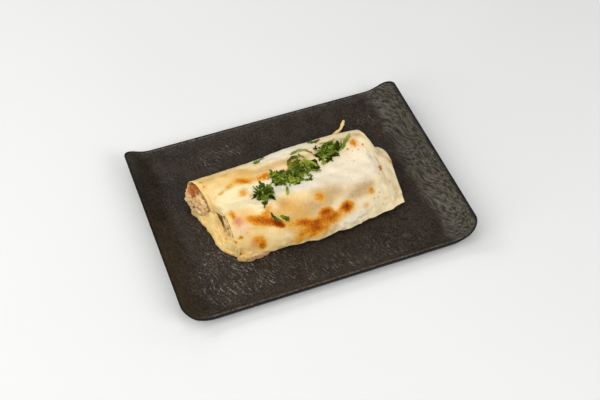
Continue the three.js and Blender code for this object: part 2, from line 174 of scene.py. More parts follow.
@dataclass(frozen=True)
class RollForm:
    """Outer form of one filled pasta tube after baking, in mm."""

    left: float
    right: float
    slant: float  # the cut left end leans by this much for each mm of y
    right_edge: Stations  # x of the right end at each y
    ridge_y: Stations
    ridge_z: Stations
    front_reach: Stations
    back_reach: Stations
    waist_z: Stations
    front_power: Stations
    unevenness: float

    @lru_cache(maxsize=60000)
    def sizes_at(self, x: float) -> tuple[float, float, float, float, float, float]:
        """Returns ridge y, ridge z, front reach, back reach, waist height and front power at x."""
        return (
            self.ridge_y.at(x), self.ridge_z.at(x), self.front_reach.at(x),
            self.back_reach.at(x), self.waist_z.at(x), self.front_power.at(x),
        )

    def section(self, x: float, cosine: float, sine: float, inward: float) -> tuple[float, float]:
        """Point of the roll's cross section.

        Args:
            x: Place along the roll.
            cosine: Share of the reach, positive towards the back.
            sine: Share of the height, positive upwards.
            inward: How far inside the outer form the point lies.

        Returns:
            Its y and z.
        """
        ridge_y, ridge_z, front_reach, back_reach, waist, power = self.sizes_at(x)
        front = cosine < 0.0
        y = ridge_y + ((front_reach if front else back_reach) - inward) * cosine
        if sine < 0.0:
            bottom = BED + inward
            return y, max(bottom, waist + (waist - bottom) * 1.5 * sine)
        radius = max(math.hypot(cosine, sine), 1e-9)
        rise = radius * (sine / radius) ** (power if front else 1.0)
        rough = self.unevenness * waver(x, y, self.left)
        return y, waist + (ridge_z - inward - waist + rough) * rise

    def top(self, x: float, y: float) -> float:
        """Upper skin of the roll over a place in plan.

        Args:
            x: Place along the rolls.
            y: Place across the rolls.

        Returns:
            Its height, or the bed's outside the roll.
        """
        ridge_y, _, front_reach, back_reach, _, _ = self.sizes_at(x)
        share = (y - ridge_y) / (front_reach if y < ridge_y else back_reach)
        if abs(share) >= 1.0:
            return BED
        return self.section(x, share, math.sqrt(1.0 - share * share), 0.0)[1]

    def rim_shift(self, y: float) -> float:
        """Returns how far the cut left rim leans at y."""
        return self.slant * (y - self.ridge_y.at(self.left))

    def end_shift(self, y: float) -> float:
        """Returns how far the right end lies beyond its nominal x at y."""
        return self.right_edge.at(y) - self.right


BACK_ROLL = RollForm(
    left=-76.5,
    right=68.9,
    slant=-0.27,
    right_edge=Stations(((2, 71.2), (12, 69.4), (20, 67.6), (28, 66.1), (36, 65.3))),
    ridge_y=Stations(((-78, 14.6), (20, 17.6), (66, 19))),
    ridge_z=Stations(((-78, 34.2), (-30, 33.6), (5, 34.6), (45, 34.4), (66, 33.2))),
    front_reach=Stations(((-78, 17.2), (66, 17))),
    back_reach=Stations(((-78, 18.6), (-30, 19.4), (5, 22.2), (45, 22.6), (66, 20))),
    waist_z=Stations(((-78, 14), (66, 14))),
    front_power=Stations(((-78, 1), (66, 1))),
    unevenness=0.4,
)

FRONT_ROLL = RollForm(
    left=-65.2,
    right=80.0,
    slant=-0.06,
    right_edge=Stations((
        (-46, 76), (-38, 78), (-28, 78.8), (-18, 79), (-8, 80.2), (0, 82), (9, 82),
        (17, 80.6), (24, 76.5),
    )),
    ridge_y=Stations(((-66, -22), (25, -20), (50, -18.5), (66, -13.5), (80, -3.5))),
    ridge_z=Stations(((-66, 32.6), (0, 32.2), (40, 30.2), (60, 27.9), (71, 24.6), (80, 20.2))),
    front_reach=Stations((
        (-66, 18), (-56, 20.6), (-46, 23.6), (-37, 25.2), (-24, 24.8), (-14, 26.4), (-9, 26),
        (1, 28.6), (11, 27.4), (18, 25.8), (27, 27.1), (37, 25.9), (47, 24.6), (56, 25.4),
        (69, 28.6), (80, 34.2),
    )),
    back_reach=Stations(((-66, 18.4), (25, 18), (50, 17.2), (64, 16), (70, 31), (80, 27))),
    waist_z=Stations(((-66, 12.4), (-46, 10), (-20, 9.2), (50, 9.2), (80, 9.4))),
    front_power=Stations(((-66, 1.05), (-20, 1.3), (40, 1.75), (80, 2.2))),
    unevenness=0.5,
)


# ------------------------------------------------------------------ where the food is browned


class Stain(Enum):
    """What a patch on the baked surface is, and the vertex attribute that carries it."""

    BROWNED = "browned"
    GOLDEN = "golden"
    THIN = "thin"
    WHITE = "white"
    BLUSH = "blush"


@dataclass(frozen=True)
class Patch:
    """One soft-edged oval patch on the food, in mm."""

    kind: Stain
    at: tuple[float, float, float]
    long: float
    short: float
    turn: float = 0.0  # degrees in plan from the line of the rolls
    strength: float = 1.0

    @property
    def reach(self) -> float:
        """How far from its middle the patch still shows."""
        return 1.9 * max(self.long, self.short)

    def share(self, place: Vector) -> float:
        """How strongly the patch colours a place.

        Args:
            place: Point in mm.

        Returns:
            Share from 0 to the patch's strength.
        """
        away = place - Vector(self.at)
        if away.length > self.reach:
            return 0.0
        angle = math.radians(self.turn)
        along = away.x * math.cos(angle) + away.y * math.sin(angle)
        rest = max(0.0, away.length_squared - along * along)
        square = (along / self.long) ** 2 + rest / self.short ** 2
        return self.strength * math.exp(-square * square * 0.35 - square * 0.65)


def food_top(x: float, y: float) -> float:
    """Returns the height of the bare rolls at a place in plan."""
    return max(BACK_ROLL.top(x, y), FRONT_ROLL.top(x, y))


# For each kind of patch: x, y, z, half length, half width, turn in degrees and strength.
PATCH_ROWS: dict[Stain, tuple[tuple[float, ...], ...]] = {
    Stain.BROWNED: (  # Scorched spots, streaks and bands.
        (-41.8, 8.8, 34, 7.6, 3, -18, 0.44), (-44, 10, 34.4, 3.1, 1.7, -15, 0.2),
        (-39.1, 7.6, 33.6, 3.7, 1.8, -22, 0.24), (-25.5, 7.9, 33, 6.5, 3, 5, 0.44),
        (-22.6, 8.4, 33.4, 3.3, 2.1, 3, 0.28), (-53.1, 7.6, 33.4, 4.6, 1.7, 18, 0.28),
        (-61.1, 3.7, 32.5, 3, 1.3, 18, 0.29), (-44.7, -0.2, 30.3, 3.3, 3.1, 15, 0.34),
        (1.7, 10.9, 34.7, 4, 3.2, -15, 0.44), (-4.3, 7.8, 33.7, 2.7, 1.8, 3, 0.13),
        (54.1, 14.8, 35, 3.7, 3.4, 68, 0.46), (-60.2, -20.3, 34.3, 3.9, 2.8, -79, 0.43),
        (-59.1, -24, 33.5, 2.3, 1.5, -83, 0.18), (-40, -31.4, 31.5, 12.7, 4.5, -18, 0.28),
        (-44.3, -29.7, 32.2, 6.5, 3.7, -19, 0.29), (-38.3, -31.8, 31.2, 7.5, 3.9, -18, 0.43),
        (-33.1, -34.3, 29.4, 5.4, 3.2, -23, 0.41), (-28.3, -36.2, 27.8, 6.4, 2.8, -39, 0.77),
        (-27.3, -37.1, 26.8, 3.8, 1.9, -38, 0.59), (-29.6, -33.8, 29.6, 4.3, 1.8, -40, 0.46),
        (-26.1, -38.1, 25.8, 2.6, 1.8, -30, 0.64), (-20.5, -37.8, 26.2, 3.8, 3.2, -6, 0.29),
        (-32.5, -24.9, 33.6, 2.3, 5.8, -44, 0.23), (-35.1, -27.6, 33, 4.3, 2.3, -18, 0.23),
        (-24.5, -31, 31.1, 5.4, 2.7, -5, 0.15), (-48.1, -26.9, 33.1, 2.7, 2.6, -17, 0.23),
        (-47.7, -40.9, 21.3, 3.1, 3.3, 3, 0.46), (-43.9, -43.4, 17.5, 2.8, 4.6, -20, 0.54),
        (-45.6, -43.7, 16.1, 2.2, 2.5, -12, 0.36), (-44.7, -40, 22.9, 4, 1.4, -17, 0.23),
        (-42.1, -41.8, 20.9, 1.9, 2, -12, 0.25), (-58.3, -44.9, 10.8, 2.8, 1.5, -20, 0.17),
        (-14.5, -39.3, 25.3, 5, 3.2, -4, 0.29), (-9.6, -39.3, 24.8, 4.8, 3.3, -8, 0.36),
        (-5.4, -40.4, 22.5, 4.7, 3.5, -32, 0.41), (-0.4, -41.9, 21.2, 3.9, 4.5, 9, 0.44),
        (-3, -43.6, 19, 4.7, 2.5, -5, 0.29), (4.9, -40.2, 22.6, 5.6, 2.9, 5, 0.36),
        (11.9, -40.1, 21.4, 6.6, 2.6, 8, 0.33), (19.4, -38.1, 22.4, 6.1, 2.3, 7, 0.33),
        (14.3, -42, 18.5, 5.8, 2.4, 7, 0.23), (-10.7, -42.3, 20.1, 6.3, 2.9, -6, 0.16),
        (4.4, -43.8, 18.7, 6.4, 2.4, 4, 0.18), (14.4, -39.5, 21.3, 5.8, 1.8, 7, 0.33),
        (2.3, -40.5, 22.8, 3.6, 1.9, 5, 0.28), (-15.7, -46, 12.9, 3.8, 3, -5, 0.37),
        (-8.1, -44, 16.7, 7.9, 3, -4, 0.36), (3.1, -45.1, 17.1, 7.4, 2.5, 1, 0.34),
        (-3.2, -46.6, 13.8, 5.2, 2.1, -7, 0.33), (-14, -44.4, 16.6, 3.6, 2.2, -4, 0.25),
        (-7.4, -40.1, 23.4, 8.4, 4.8, -17, 0.18), (6.7, -42.1, 20.2, 13.1, 5.2, 1, 0.16),
        (18.6, -40.4, 19.5, 8.5, 3, 6, 0.25), (0.4, -45.6, 16.4, 10.9, 3.3, -1, 0.12),
        (-7.9, -39.1, 25, 4.8, 3, -21, 0.25), (1.8, -42.6, 20.6, 4, 2.7, 12, 0.25),
        (-52.7, -36.5, 27.4, 1.3, 1.2, -15, 0.64), (-59.2, -36.5, 24.9, 1.8, 1.8, -7, 0.54),
        (-64, -37.8, 21.6, 2.8, 1.6, -88, 0.44), (-73.2, 18.4, 34.8, 2.3, 1.7, -52, 0.36),
        (-72.7, 12.3, 35.6, 1.5, 1.4, -19, 0.36), (-28, -36.6, 27.3, 5, 2.3, -42, 0.7),
        (-25.6, -38.4, 25.5, 2.4, 1.5, -23, 0.54), (67.1, -12.2, 28.3, 3.1, 2.2, 27, 0.58),
        (10.6, -36.9, 26.1, 6, 3.9, -2, 0.64), (11.9, -37.1, 25.8, 3.8, 2.6, -7, 0.44),
        (7, -37.6, 26.1, 3.4, 2.2, -9, 0.2), (14.2, -36.2, 26.2, 2.9, 1.8, 6, 0.2),
        (28.5, -36.2, 23.6, 4.5, 4.1, -5, 0.8), (31.2, -35.9, 23.3, 3.8, 3.9, -7, 0.28),
        (25.2, -36.2, 23.8, 3.4, 3.2, -4, 0.36), (9.3, -25.8, 32.2, 4.9, 4, -39, 0.41),
        (6.7, -27.5, 31.7, 3.3, 1.9, -13, 0.16), (51.9, -29.5, 26, 3.3, 3.1, 2, 0.44),
        (52.2, -30.1, 25.7, 2.2, 2, 7, 0.13), (44.4, -37.2, 19, 1.4, 1.4, -7, 0.08),
        (80.7, -3.4, 20.5, 1.5, 4.2, 31, 0.34),
    ),
    Stain.GOLDEN: (  # Golden rings and fields around them.
        (-33.6, 7.5, 33.6, 4.7, 2.4, -4, 0.7), (-47, 9.2, 34.3, 6.5, 3.3, 0, 0.65),
        (-40.4, 11.6, 34.8, 9.4, 5.2, -10, 0.59), (-53.4, 7.3, 33.3, 5.6, 2.1, 16, 0.88),
        (-61.2, 4, 32.7, 3.6, 1.5, 20, 0.84), (-66.6, 1.9, 31.2, 2.4, 1.2, 20, 0.48),
        (-44.7, -0.2, 30.3, 4.4, 3.6, 15, 0.99), (-39, -5.2, 29.9, 3, 2.8, -21, 0.84),
        (-39.3, 17.4, 34.8, 6.3, 4.4, -11, 0.88), (-53.1, 19.5, 34.6, 4.8, 3.1, -1, 0.75),
        (-71.7, 17.8, 35, 3.9, 2.5, -64, 0.48), (-72.2, 12.1, 35.5, 3.4, 2.2, -62, 0.39),
        (-64.6, 20.5, 33.7, 4.6, 4.6, -9, 0.54), (-0.1, 10, 34.4, 5.6, 4.1, -14, 0.75),
        (55.5, 18.1, 35, 3.3, 3.1, -15, 0.41), (-60.1, -19.9, 34.3, 5.6, 2.8, -82, 0.84),
        (-18, -37.6, 26.6, 6.2, 4.7, -5, 0.75), (-33.1, -25.6, 33.4, 3.8, 6.2, -18, 0.75),
        (-18, -26.8, 32.3, 8.6, 7.3, -6, 0.94), (-26.4, -29.6, 31.9, 4.7, 4, -14, 0.75),
        (-41.7, -35.8, 28.9, 9.3, 1.9, -13, 0.59), (-46.1, -41.6, 20.5, 5.8, 5.8, -13, 0.91),
        (-61.7, -40.7, 12.6, 4.8, 3.5, -29, 0.31), (-3, -41.3, 21.7, 17.7, 6.9, 1, 0.99),
        (15.9, -40, 20.3, 9.9, 5, 7, 0.94), (-15.6, -39.8, 23.1, 9.5, 4.7, -5, 0.91),
        (-17, -45.7, 13.2, 5.5, 3.4, -5, 0.75), (-9.4, -45.4, 14.4, 7.9, 2.7, -4, 0.65),
        (-11.9, -30.2, 31.1, 11.8, 8.8, -6, 0.77), (0.9, -44.3, 18.4, 17.2, 6.9, 0, 0.97),
        (-4.4, -45.3, 15.8, 12.7, 5.2, -3, 0.97), (-8.4, -36.1, 27.9, 7.9, 4.6, -13, 0.65),
        (29.4, -36.3, 23.3, 7, 6.1, -5, 0.91), (9.4, -26.3, 32, 7, 5.2, -37, 0.91),
        (50.1, -30.3, 26, 4.2, 2.9, 16, 0.88), (44.4, -37.2, 19, 2.9, 2.3, -6, 0.99),
        (74.4, -27.7, 16.4, 4.7, 2.6, 3, 0.56), (62.7, -34.4, 16.9, 2.4, 1.4, -1, 0.65),
        (74, -33.1, 13.1, 3.8, 2.3, -2, 0.41), (68.2, -22.8, 22.6, 5.8, 3.1, 9, 0.35),
    ),
    Stain.THIN: (  # Tan pasta that shows through the thin coat.
        (-58.4, -26.7, 32.9, 3.8, 3.7, -15, 0.59), (17.8, -24, 31.4, 15.7, 8.3, 4, 0.61),
        (20.6, -25.5, 31.1, 7.6, 5, 11, 0.43), (-0.3, -32.1, 30.2, 11.3, 6.1, -2, 0.75),
        (-8.7, -34.7, 28.8, 7.9, 3.8, -5, 0.59), (12.3, -31.8, 29.7, 7.5, 3.2, 6, 0.59),
        (42.8, -27.9, 28.8, 13.1, 6.3, 16, 0.72), (38.4, -29.6, 28.1, 7.6, 3.4, 17, 0.54),
        (50.5, -25.1, 28.6, 6, 3.6, 17, 0.49), (-19.5, -22.1, 33.1, 4.6, 3.9, -5, 0.49),
        (0, 14.7, 35.4, 17.8, 3.3, -3, 0.66), (-24.2, 13, 34.6, 12.8, 3, -2, 0.64),
        (27.3, 14.8, 35.2, 11.5, 3.4, 2, 0.49), (45.4, 21.3, 35.6, 6.8, 3.7, 5, 0.54),
        (-5.2, -45.1, 15.9, 11, 4.6, -3, 0.92), (4.9, -44.9, 16.9, 6.7, 2.9, 3, 0.49),
        (60.5, 23.8, 34, 4.3, 4.2, -1, 0.59),
    ),
    Stain.WHITE: (  # Thick white cheese and sauce.
        (30.5, -25.9, 31, 2.8, 9.1, -29, 0.6), (26, -33.1, 27.7, 3.2, 3.9, -11, 0.5),
        (27.1, -44, 14.6, 7.7, 3.9, 4, 0.95), (37.5, -41.2, 15.8, 7.1, 3.6, 12, 0.85),
        (20.8, -45.1, 12.4, 4, 2.4, -3, 0.7), (47.8, -39, 16.3, 5.1, 2.9, 9, 0.5),
        (81.1, 9.9, 19, 10.4, 5.2, -79, 0.55), (75.5, -10.3, 21.9, 6.7, 8.7, 5, 0.45),
        (63.6, -27.4, 23.6, 9.4, 5.3, 10, 0.35), (66.9, -37.4, 12.3, 8.3, 4.2, 10, 0.4),
        (32.2, -41.8, 16.4, 9.3, 5.1, 9, 0.7), (0, -46.8, 14.3, 7.2, 2.2, -4, 0.35),
        (-22.3, -42.5, 18.9, 5.5, 3.4, -4, 0.55), (-35.1, -41.8, 21.4, 6.3, 5, -3, 0.4),
        (-38.1, -23.8, 33.6, 4.2, 1.5, -13, 0.8), (-69.4, 6.2, 33.7, 6.1, 3.5, -43, 0.5),
        (-64, 12.2, 35.4, 4.7, 2.7, -4, 0.35), (-58.6, -33.8, 29.3, 5, 6.8, -11, 0.6),
        (-52.9, -33.5, 30, 4.6, 3.8, -15, 0.4), (-26.2, -24.7, 33.5, 3.7, 3.7, 24, 0.7),
        (-65, -9.5, 31.5, 9.8, 4.8, -56, 0.6),
    ),
    Stain.BLUSH: (  # Pink juices.
        (54, 14.5, 34.9, 4.2, 4.3, -12, 0.8), (60.3, 10.7, 33.2, 2.5, 1.8, -31, 0.35),
        (47.5, 10.6, 33.7, 3.3, 1.4, 5, 0.35), (-58.7, -26, 33, 3.4, 3.4, -15, 1),
        (-53.9, -26, 32.7, 4.9, 4.2, -16, 0.6), (-55.8, -33.3, 29.9, 6.1, 6.1, -15, 0.4),
        (-58.3, -29.3, 32.4, 2.8, 3.1, -14, 0.4), (-48.3, -41.6, 19.8, 3.9, 3.6, -14, 1),
        (-0.7, -42.6, 20.5, 2.8, 2.9, -12, 0.5), (-48.6, -41.8, 19.4, 4.1, 4.1, -14, 0.95),
        (9.6, -36.5, 26.5, 5.2, 2.7, -1, 0.55), (80.5, -1.9, 20.6, 2.1, 4.4, 26, 0.5),
        (76.9, 2.8, 22, 5.3, 9.4, -4, 0.15),
    ),
}

PATCHES = tuple(Patch(kind, row[:3], *row[3:]) for kind, rows in PATCH_ROWS.items() for row in rows)

CELL = 10.0  # patches are looked up by squares of this size in plan


def patches_by_cell() -> dict[tuple[int, int], list[Patch]]:
    """Returns the patches that reach into each square of the plan."""
    cells: dict[tuple[int, int], list[Patch]] = {}
    for patch in PATCHES:
        margin = patch.reach + 2.5
        columns, rows = (
            range(math.floor((at - margin) / CELL), math.floor((at + margin) / CELL) + 1)
            for at in patch.at[:2]
        )
        for column in columns:
            for row in rows:
                cells.setdefault((column, row), []).append(patch)
    return cells


PATCH_CELLS = patches_by_cell()


@dataclass(frozen=True)
class Coating:
    """Where the cheese lies thick, and how strongly each place is baked."""

    band_back: Stations = Stations((
        (-76, 6.0), (-60, 6.0), (-45, 4.6), (-28, 4.0), (0, 3.0), (30, 4.0), (45, 6.0), (58, 6.5),
        (68, 4.0), (74, -2.0),
    ))
    band_front: Stations = Stations((
        (-66, -16.0), (-50, -17.0), (-40, -22.0), (-30, -19.0), (-19, -14.0), (-9, -14.0),
        (4, -17.0), (19, -18.0), (34, -22.5), (46, -23.5), (56, -20.5), (63, -16.0), (72, -10.0),
    ))
    band_right: float = 68.5
    band_left: float = -74.0

    def at(self, place: Vector) -> dict[Stain, float]:
        """Strength of each kind of patch at a place.

        Args:
            place: Point on the food in mm.

        Returns:
            Share from 0 to 1 for each kind.
        """
        moved = place + Vector((0.9 * grain(place, 5.0, 3, 1.0), 0.8 * grain(place, 4.0, 3, 2.0), 0.0))
        totals = {kind: 1.0 for kind in Stain}
        cell = (math.floor(moved.x / CELL), math.floor(moved.y / CELL))
        for patch in PATCH_CELLS.get(cell, ()):
            totals[patch.kind] *= 1.0 - patch.share(moved)
        shares = {kind: 1.0 - rest for kind, rest in totals.items()}
        band = (
            smoothstep(6.5, -3.5, moved.y - self.band_back.at(moved.x))
            * smoothstep(-5.6, 5.0, moved.y - self.band_front.at(moved.x))
            * smoothstep(self.band_right + 5.0, self.band_right - 6.0, moved.x)
            * smoothstep(self.band_left, self.band_left + 14.0, moved.x)
        )
        ridge = smoothstep(15.0, 22.0, moved.y) * smoothstep(-60.0, -20.0, moved.x)
        ridge *= smoothstep(44.0, 10.0, moved.x)
        shares[Stain.WHITE] = max(shares[Stain.WHITE], band, 0.75 * ridge)
        return shares


COATING = Coating()


def skin_relief(place: Vector, shares: dict[Stain, float]) -> float:
    """How far baked cheese and pasta stand proud of the smooth form.

    Args:
        place: Point on the food in mm.
        shares: Patch strengths there.

    Returns:
        Height in mm, negative where the surface sinks.
    """
    white = shares[Stain.WHITE]
    # Thick cheese lies calm on the ridges. It is blistered where it browned and on the low front wall.
    calm = 1.0 - 0.6 * white * smoothstep(26.0, 31.0, place.z)
    swell = 0.36 * calm * grain(place, 9.0, 3, 4.0) + 0.10 * grain(place, 2.2, 2, 5.0)
    bubbled = shares[Stain.BROWNED] * (0.15 + 0.38 * grain(place, 1.7, 2, 6.0))
    low_front = smoothstep(28.0, 22.0, place.z) * smoothstep(0.0, -8.0, place.y)
    bubbled += 0.6 * grain(place, 2.4, 3, 9.0) * white * low_front
    # The foot of the front wall and the sealed right end are ragged.
    hem = smoothstep(19.0, 12.0, place.z) * smoothstep(-30.0, -36.0, place.y)
    hem = max(hem, 0.6 * smoothstep(74.0, 79.0, place.x))
    ragged = 1.1 * grain(place, 4.5, 3, 12.0) * hem
    return swell + bubbled + ragged + 0.4 * white - 0.22 * shares[Stain.THIN]


# ------------------------------------------------------------------ node and colour tools


def linear(hex_code: str) -> tuple[float, float, float, float]:
    """Turns an sRGB hex colour to linear RGBA.

    Args:
        hex_code: Colour such as "e8d3a0".

    Returns:
        Linear red, green, blue and an alpha of 1.
    """
    parts = [int(hex_code[i:i + 2], 16) / 255.0 for i in (0, 2, 4)]
    red, green, blue = (
        part / 12.92 if part <= 0.04045 else ((part + 0.055) / 1.055) ** 2.4 for part in parts
    )
    return red, green, blue, 1.0


def per_mm(size: float) -> float:
    """Returns the pattern scale whose features are `size` mm wide."""
    return 1.0 / (size * MM)


class Node(Enum):
    """The shader nodes in use: Blender's type, its settings and the output that is read."""

    PLACE = ("TexCoord", {}, "Object")
    ALONG = ("SeparateXYZ", {}, "X")
    ATTRIBUTE = ("Attribute", {}, "Fac")
    NOISE = ("TexNoise", {}, "Fac")
    DRIFT = ("TexNoise", {}, "Color")
    SWING = ("VectorMath", {"operation": "MULTIPLY_ADD"}, "Vector")
    TURN = ("VectorRotate", {"rotation_type": "Z_AXIS"}, "Vector")
    STRETCH = ("Mapping", {}, "Vector")
    ADD = ("Math", {"operation": "ADD"}, "Value")
    LESS = ("Math", {"operation": "SUBTRACT"}, "Value")
    TIMES = ("Math", {"operation": "MULTIPLY"}, "Value")
    EASE = ("MapRange", {"interpolation_type": "SMOOTHSTEP"}, "Result")
    RAMP = ("ValToRGB", {}, "Color")
    MIX = ("Mix", {"data_type": "RGBA"}, 2)
    SHADE = ("Mix", {"data_type": "RGBA", "blend_type": "MULTIPLY"}, 2)
    BUMP = ("Bump", {}, "Normal")
    FINISH = ("BsdfPrincipled", {}, "BSDF")
    OUTPUT = ("OutputMaterial", {}, None)


class Surface:
    """A material under construction."""

    def __init__(self, name: str) -> None:
        """Starts an empty material called `name`."""
        self.material = bpy.data.materials.new(name)
        self.material.use_nodes = True
        self.material.node_tree.nodes.clear()
        self.place = self.add(Node.PLACE)

    def add(self, kind: Node, *values: Any, stops: Sequence[tuple[float, str]] = (), **named: Any) -> Any:
        """Adds one node with its settings and links.

        Args:
            kind: What the node is.
            values: Values, hex colours or sockets for its live inputs, in order.
            stops: Positions and hex colours of a ramp.
            named: Settings in small letters, and inputs with a capital and _ for a space.

        Returns:
            The socket of the output that is read, if the kind has one.
        """
        tree = self.material.node_tree
        blender_type, settings, output = kind.value
        node = tree.nodes.new("ShaderNode" + blender_type)
        for name, value in (settings | named).items():
            if name[0].islower():
                setattr(node, name, value)
        inputs = list(zip((socket for socket in node.inputs if socket.enabled), values))
        inputs += [(node.inputs[name.replace("_", " ")], named[name]) for name in named if name[0].isupper()]
        for socket, value in inputs:
            if isinstance(value, bpy.types.NodeSocket):
                tree.links.new(value, socket)
            else:
                socket.default_value = linear(value) if isinstance(value, str) else value
        for _ in stops[2:]:
            node.color_ramp.elements.new(0.5)
        for index, (position, _) in enumerate(stops):
            node.color_ramp.elements[index].position = position
        for index, (_, hex_code) in enumerate(stops):
            node.color_ramp.elements[index].color = linear(hex_code)
        return None if output is None else node.outputs[output]

    def finish(self, **inputs: Any) -> bpy.types.Material:
        """Feeds the shader its inputs, with _ for a space in their names, and returns the material."""
        self.add(Node.OUTPUT, self.add(Node.FINISH, **inputs))
        return self.material


# ------------------------------------------------------------------ finishes


@dataclass(frozen=True)
class BakedSkin:
    """Egg pasta under bechamel and mozzarella, browned under a grill.

    Melted cheese is pale and slightly translucent with a soft oily gloss. Where the coat is thin the
    tan pasta shows, and the grill turns high spots gold, then orange-brown, then red-brown and rough.
    """

    pasta_left: str = "fbd68c"
    pasta_right: str = "ffebbe"
    cheese_left: str = "ffeebd"
    cheese_middle: str = "fff8e2"
    cheese_right: str = "fceed2"
    thin: str = "c6a26e"
    thin_dark: str = "b58a58"
    blush: str = "e87c68"
    gold: str = "e0a94a"
    crust: tuple[tuple[float, str], ...] = (
        (0.0, "f2c868"), (0.20, "ecb042"), (0.38, "e29624"), (0.56, "ce7416"), (0.74, "aa4c0a"),
        (1.0, "661c02"),
    )
    cloudiness: tuple[tuple[float, str], ...] = ((0.3, "faf6f0"), (0.7, "ffffff"))
    pore: float = 2.4
    fine_grain: float = 0.9
    speckle: float = 1.9
    mottle: float = 5.0
    left_x: float = -0.065
    right_x: float = 0.050

    def build(self) -> bpy.types.Material:
        """Returns the material."""
        s = Surface("grilled_cheese_and_pasta")
        fine, middle, broad = (
            s.add(Node.LESS, s.add(Node.NOISE, s.place, per_mm(size), 3.0), 0.5)
            for size in (self.fine_grain, self.speckle, self.mottle)
        )
        baked, golden, thin, white, blush = (
            s.add(Node.ATTRIBUTE, attribute_name=kind.value) for kind in Stain
        )
        along = s.add(Node.EASE, s.add(Node.ALONG, s.place), self.left_x, self.right_x)
        cheese = s.add(Node.RAMP, along, stops=(
            (0.0, self.cheese_left), (0.5, self.cheese_middle), (1.0, self.cheese_right),
        ))
        pasta = s.add(Node.MIX, along, self.pasta_left, self.pasta_right)
        spread = s.add(Node.ADD, s.add(Node.TIMES, broad, 0.45), s.add(Node.TIMES, fine, 0.2))
        coated = s.add(Node.EASE, s.add(Node.ADD, white, spread), 0.0, 1.0)
        colour = s.add(Node.MIX, coated, pasta, cheese)
        tan = s.add(Node.MIX, s.add(Node.EASE, middle, -0.15, 0.15), self.thin, self.thin_dark)
        uneven = s.add(Node.EASE, s.add(Node.ADD, middle, spread), -0.3, 0.2, 0.6, 1.0)
        ragged = s.add(Node.ADD, s.add(Node.TIMES, fine, 0.5), s.add(Node.TIMES, middle, 0.5))
        ragged = s.add(Node.TIMES, ragged, s.add(Node.EASE, baked, 0.02, 0.3))
        baked = s.add(Node.ADD, baked, ragged)
        for share, tint in (
            (thin, tan),
            (s.add(Node.TIMES, golden, uneven), self.gold),
            (s.add(Node.TIMES, blush, s.add(Node.EASE, middle, -0.2, 0.2, 0.5, 0.9)), self.blush),
            (s.add(Node.EASE, baked, 0.0, 0.38), s.add(Node.RAMP, baked, stops=self.crust)),
        ):
            colour = s.add(Node.MIX, share, colour, tint)
        shade = s.add(Node.RAMP, s.add(Node.ADD, broad, 0.5), stops=self.cloudiness)
        pores = s.add(Node.NOISE, s.place, per_mm(self.pore), 2.0)
        pores = s.add(Node.BUMP, Height=pores, Distance=0.12 * MM)
        dry = s.add(Node.ADD, fine, s.add(Node.TIMES, baked, 0.4))
        return s.finish(
            Base_Color=s.add(Node.SHADE, 1.0, colour, shade), IOR=1.45,
            Roughness=s.add(Node.EASE, dry, -0.2, 0.6, 0.38, 0.62),
            Specular_IOR_Level=s.add(Node.EASE, baked, 0.05, 0.5, 0.3, 0.06),
            Normal=s.add(Node.BUMP, Height=fine, Distance=0.10 * MM, Normal=pores),
            Subsurface_Weight=0.10, Subsurface_Radius=(1.0, 0.55, 0.3), Subsurface_Scale=0.003,
        )


@dataclass(frozen=True)
class GroundMeat:
    """Minced meat bound with sauce: matt packed crumbs, tan to pinkish brown, with painted shade in the gaps
    between.
    """

    brown: str = "d6a668"
    tan: str = "f6cf8e"
    pink: str = "fcd29c"
    cream: str = "ffe8aa"
    # Colour of the painted shade between the crumbs.
    pit_shade: str = "744a24"
    rust: str = "b25a06"
    grit: float = 0.7

    def build(self) -> bpy.types.Material:
        """Returns the material."""
        s = Surface("ground_meat_filling")
        fine = s.add(Node.NOISE, s.place, per_mm(self.grit), 3.0)
        tone = s.add(Node.TIMES, s.add(Node.LESS, fine, 0.5), 0.5)
        tone = s.add(Node.ADD, s.add(Node.ATTRIBUTE, attribute_name="crumb"), tone)
        colour = s.add(Node.RAMP, tone, stops=(
            (0.05, self.brown), (0.4, self.tan), (0.65, self.pink), (0.95, self.cream),
        ))
        # Painted shade goes into the gaps between crumbs, the groove at the rim and the hole.
        for name, tint in (("cream", self.cream), ("rust", self.rust), ("pit_shade", self.pit_shade)):
            colour = s.add(Node.MIX, s.add(Node.ATTRIBUTE, attribute_name=name), colour, tint)
        return s.finish(
            Base_Color=colour, Roughness=s.add(Node.EASE, fine, 0.3, 0.7, 0.42, 0.66), IOR=1.4,
            Specular_IOR_Level=0.25, Normal=s.add(Node.BUMP, Height=fine, Distance=0.16 * MM),
            Subsurface_Weight=0.08, Subsurface_Radius=(1.0, 0.4, 0.25), Subsurface_Scale=0.002,
        )


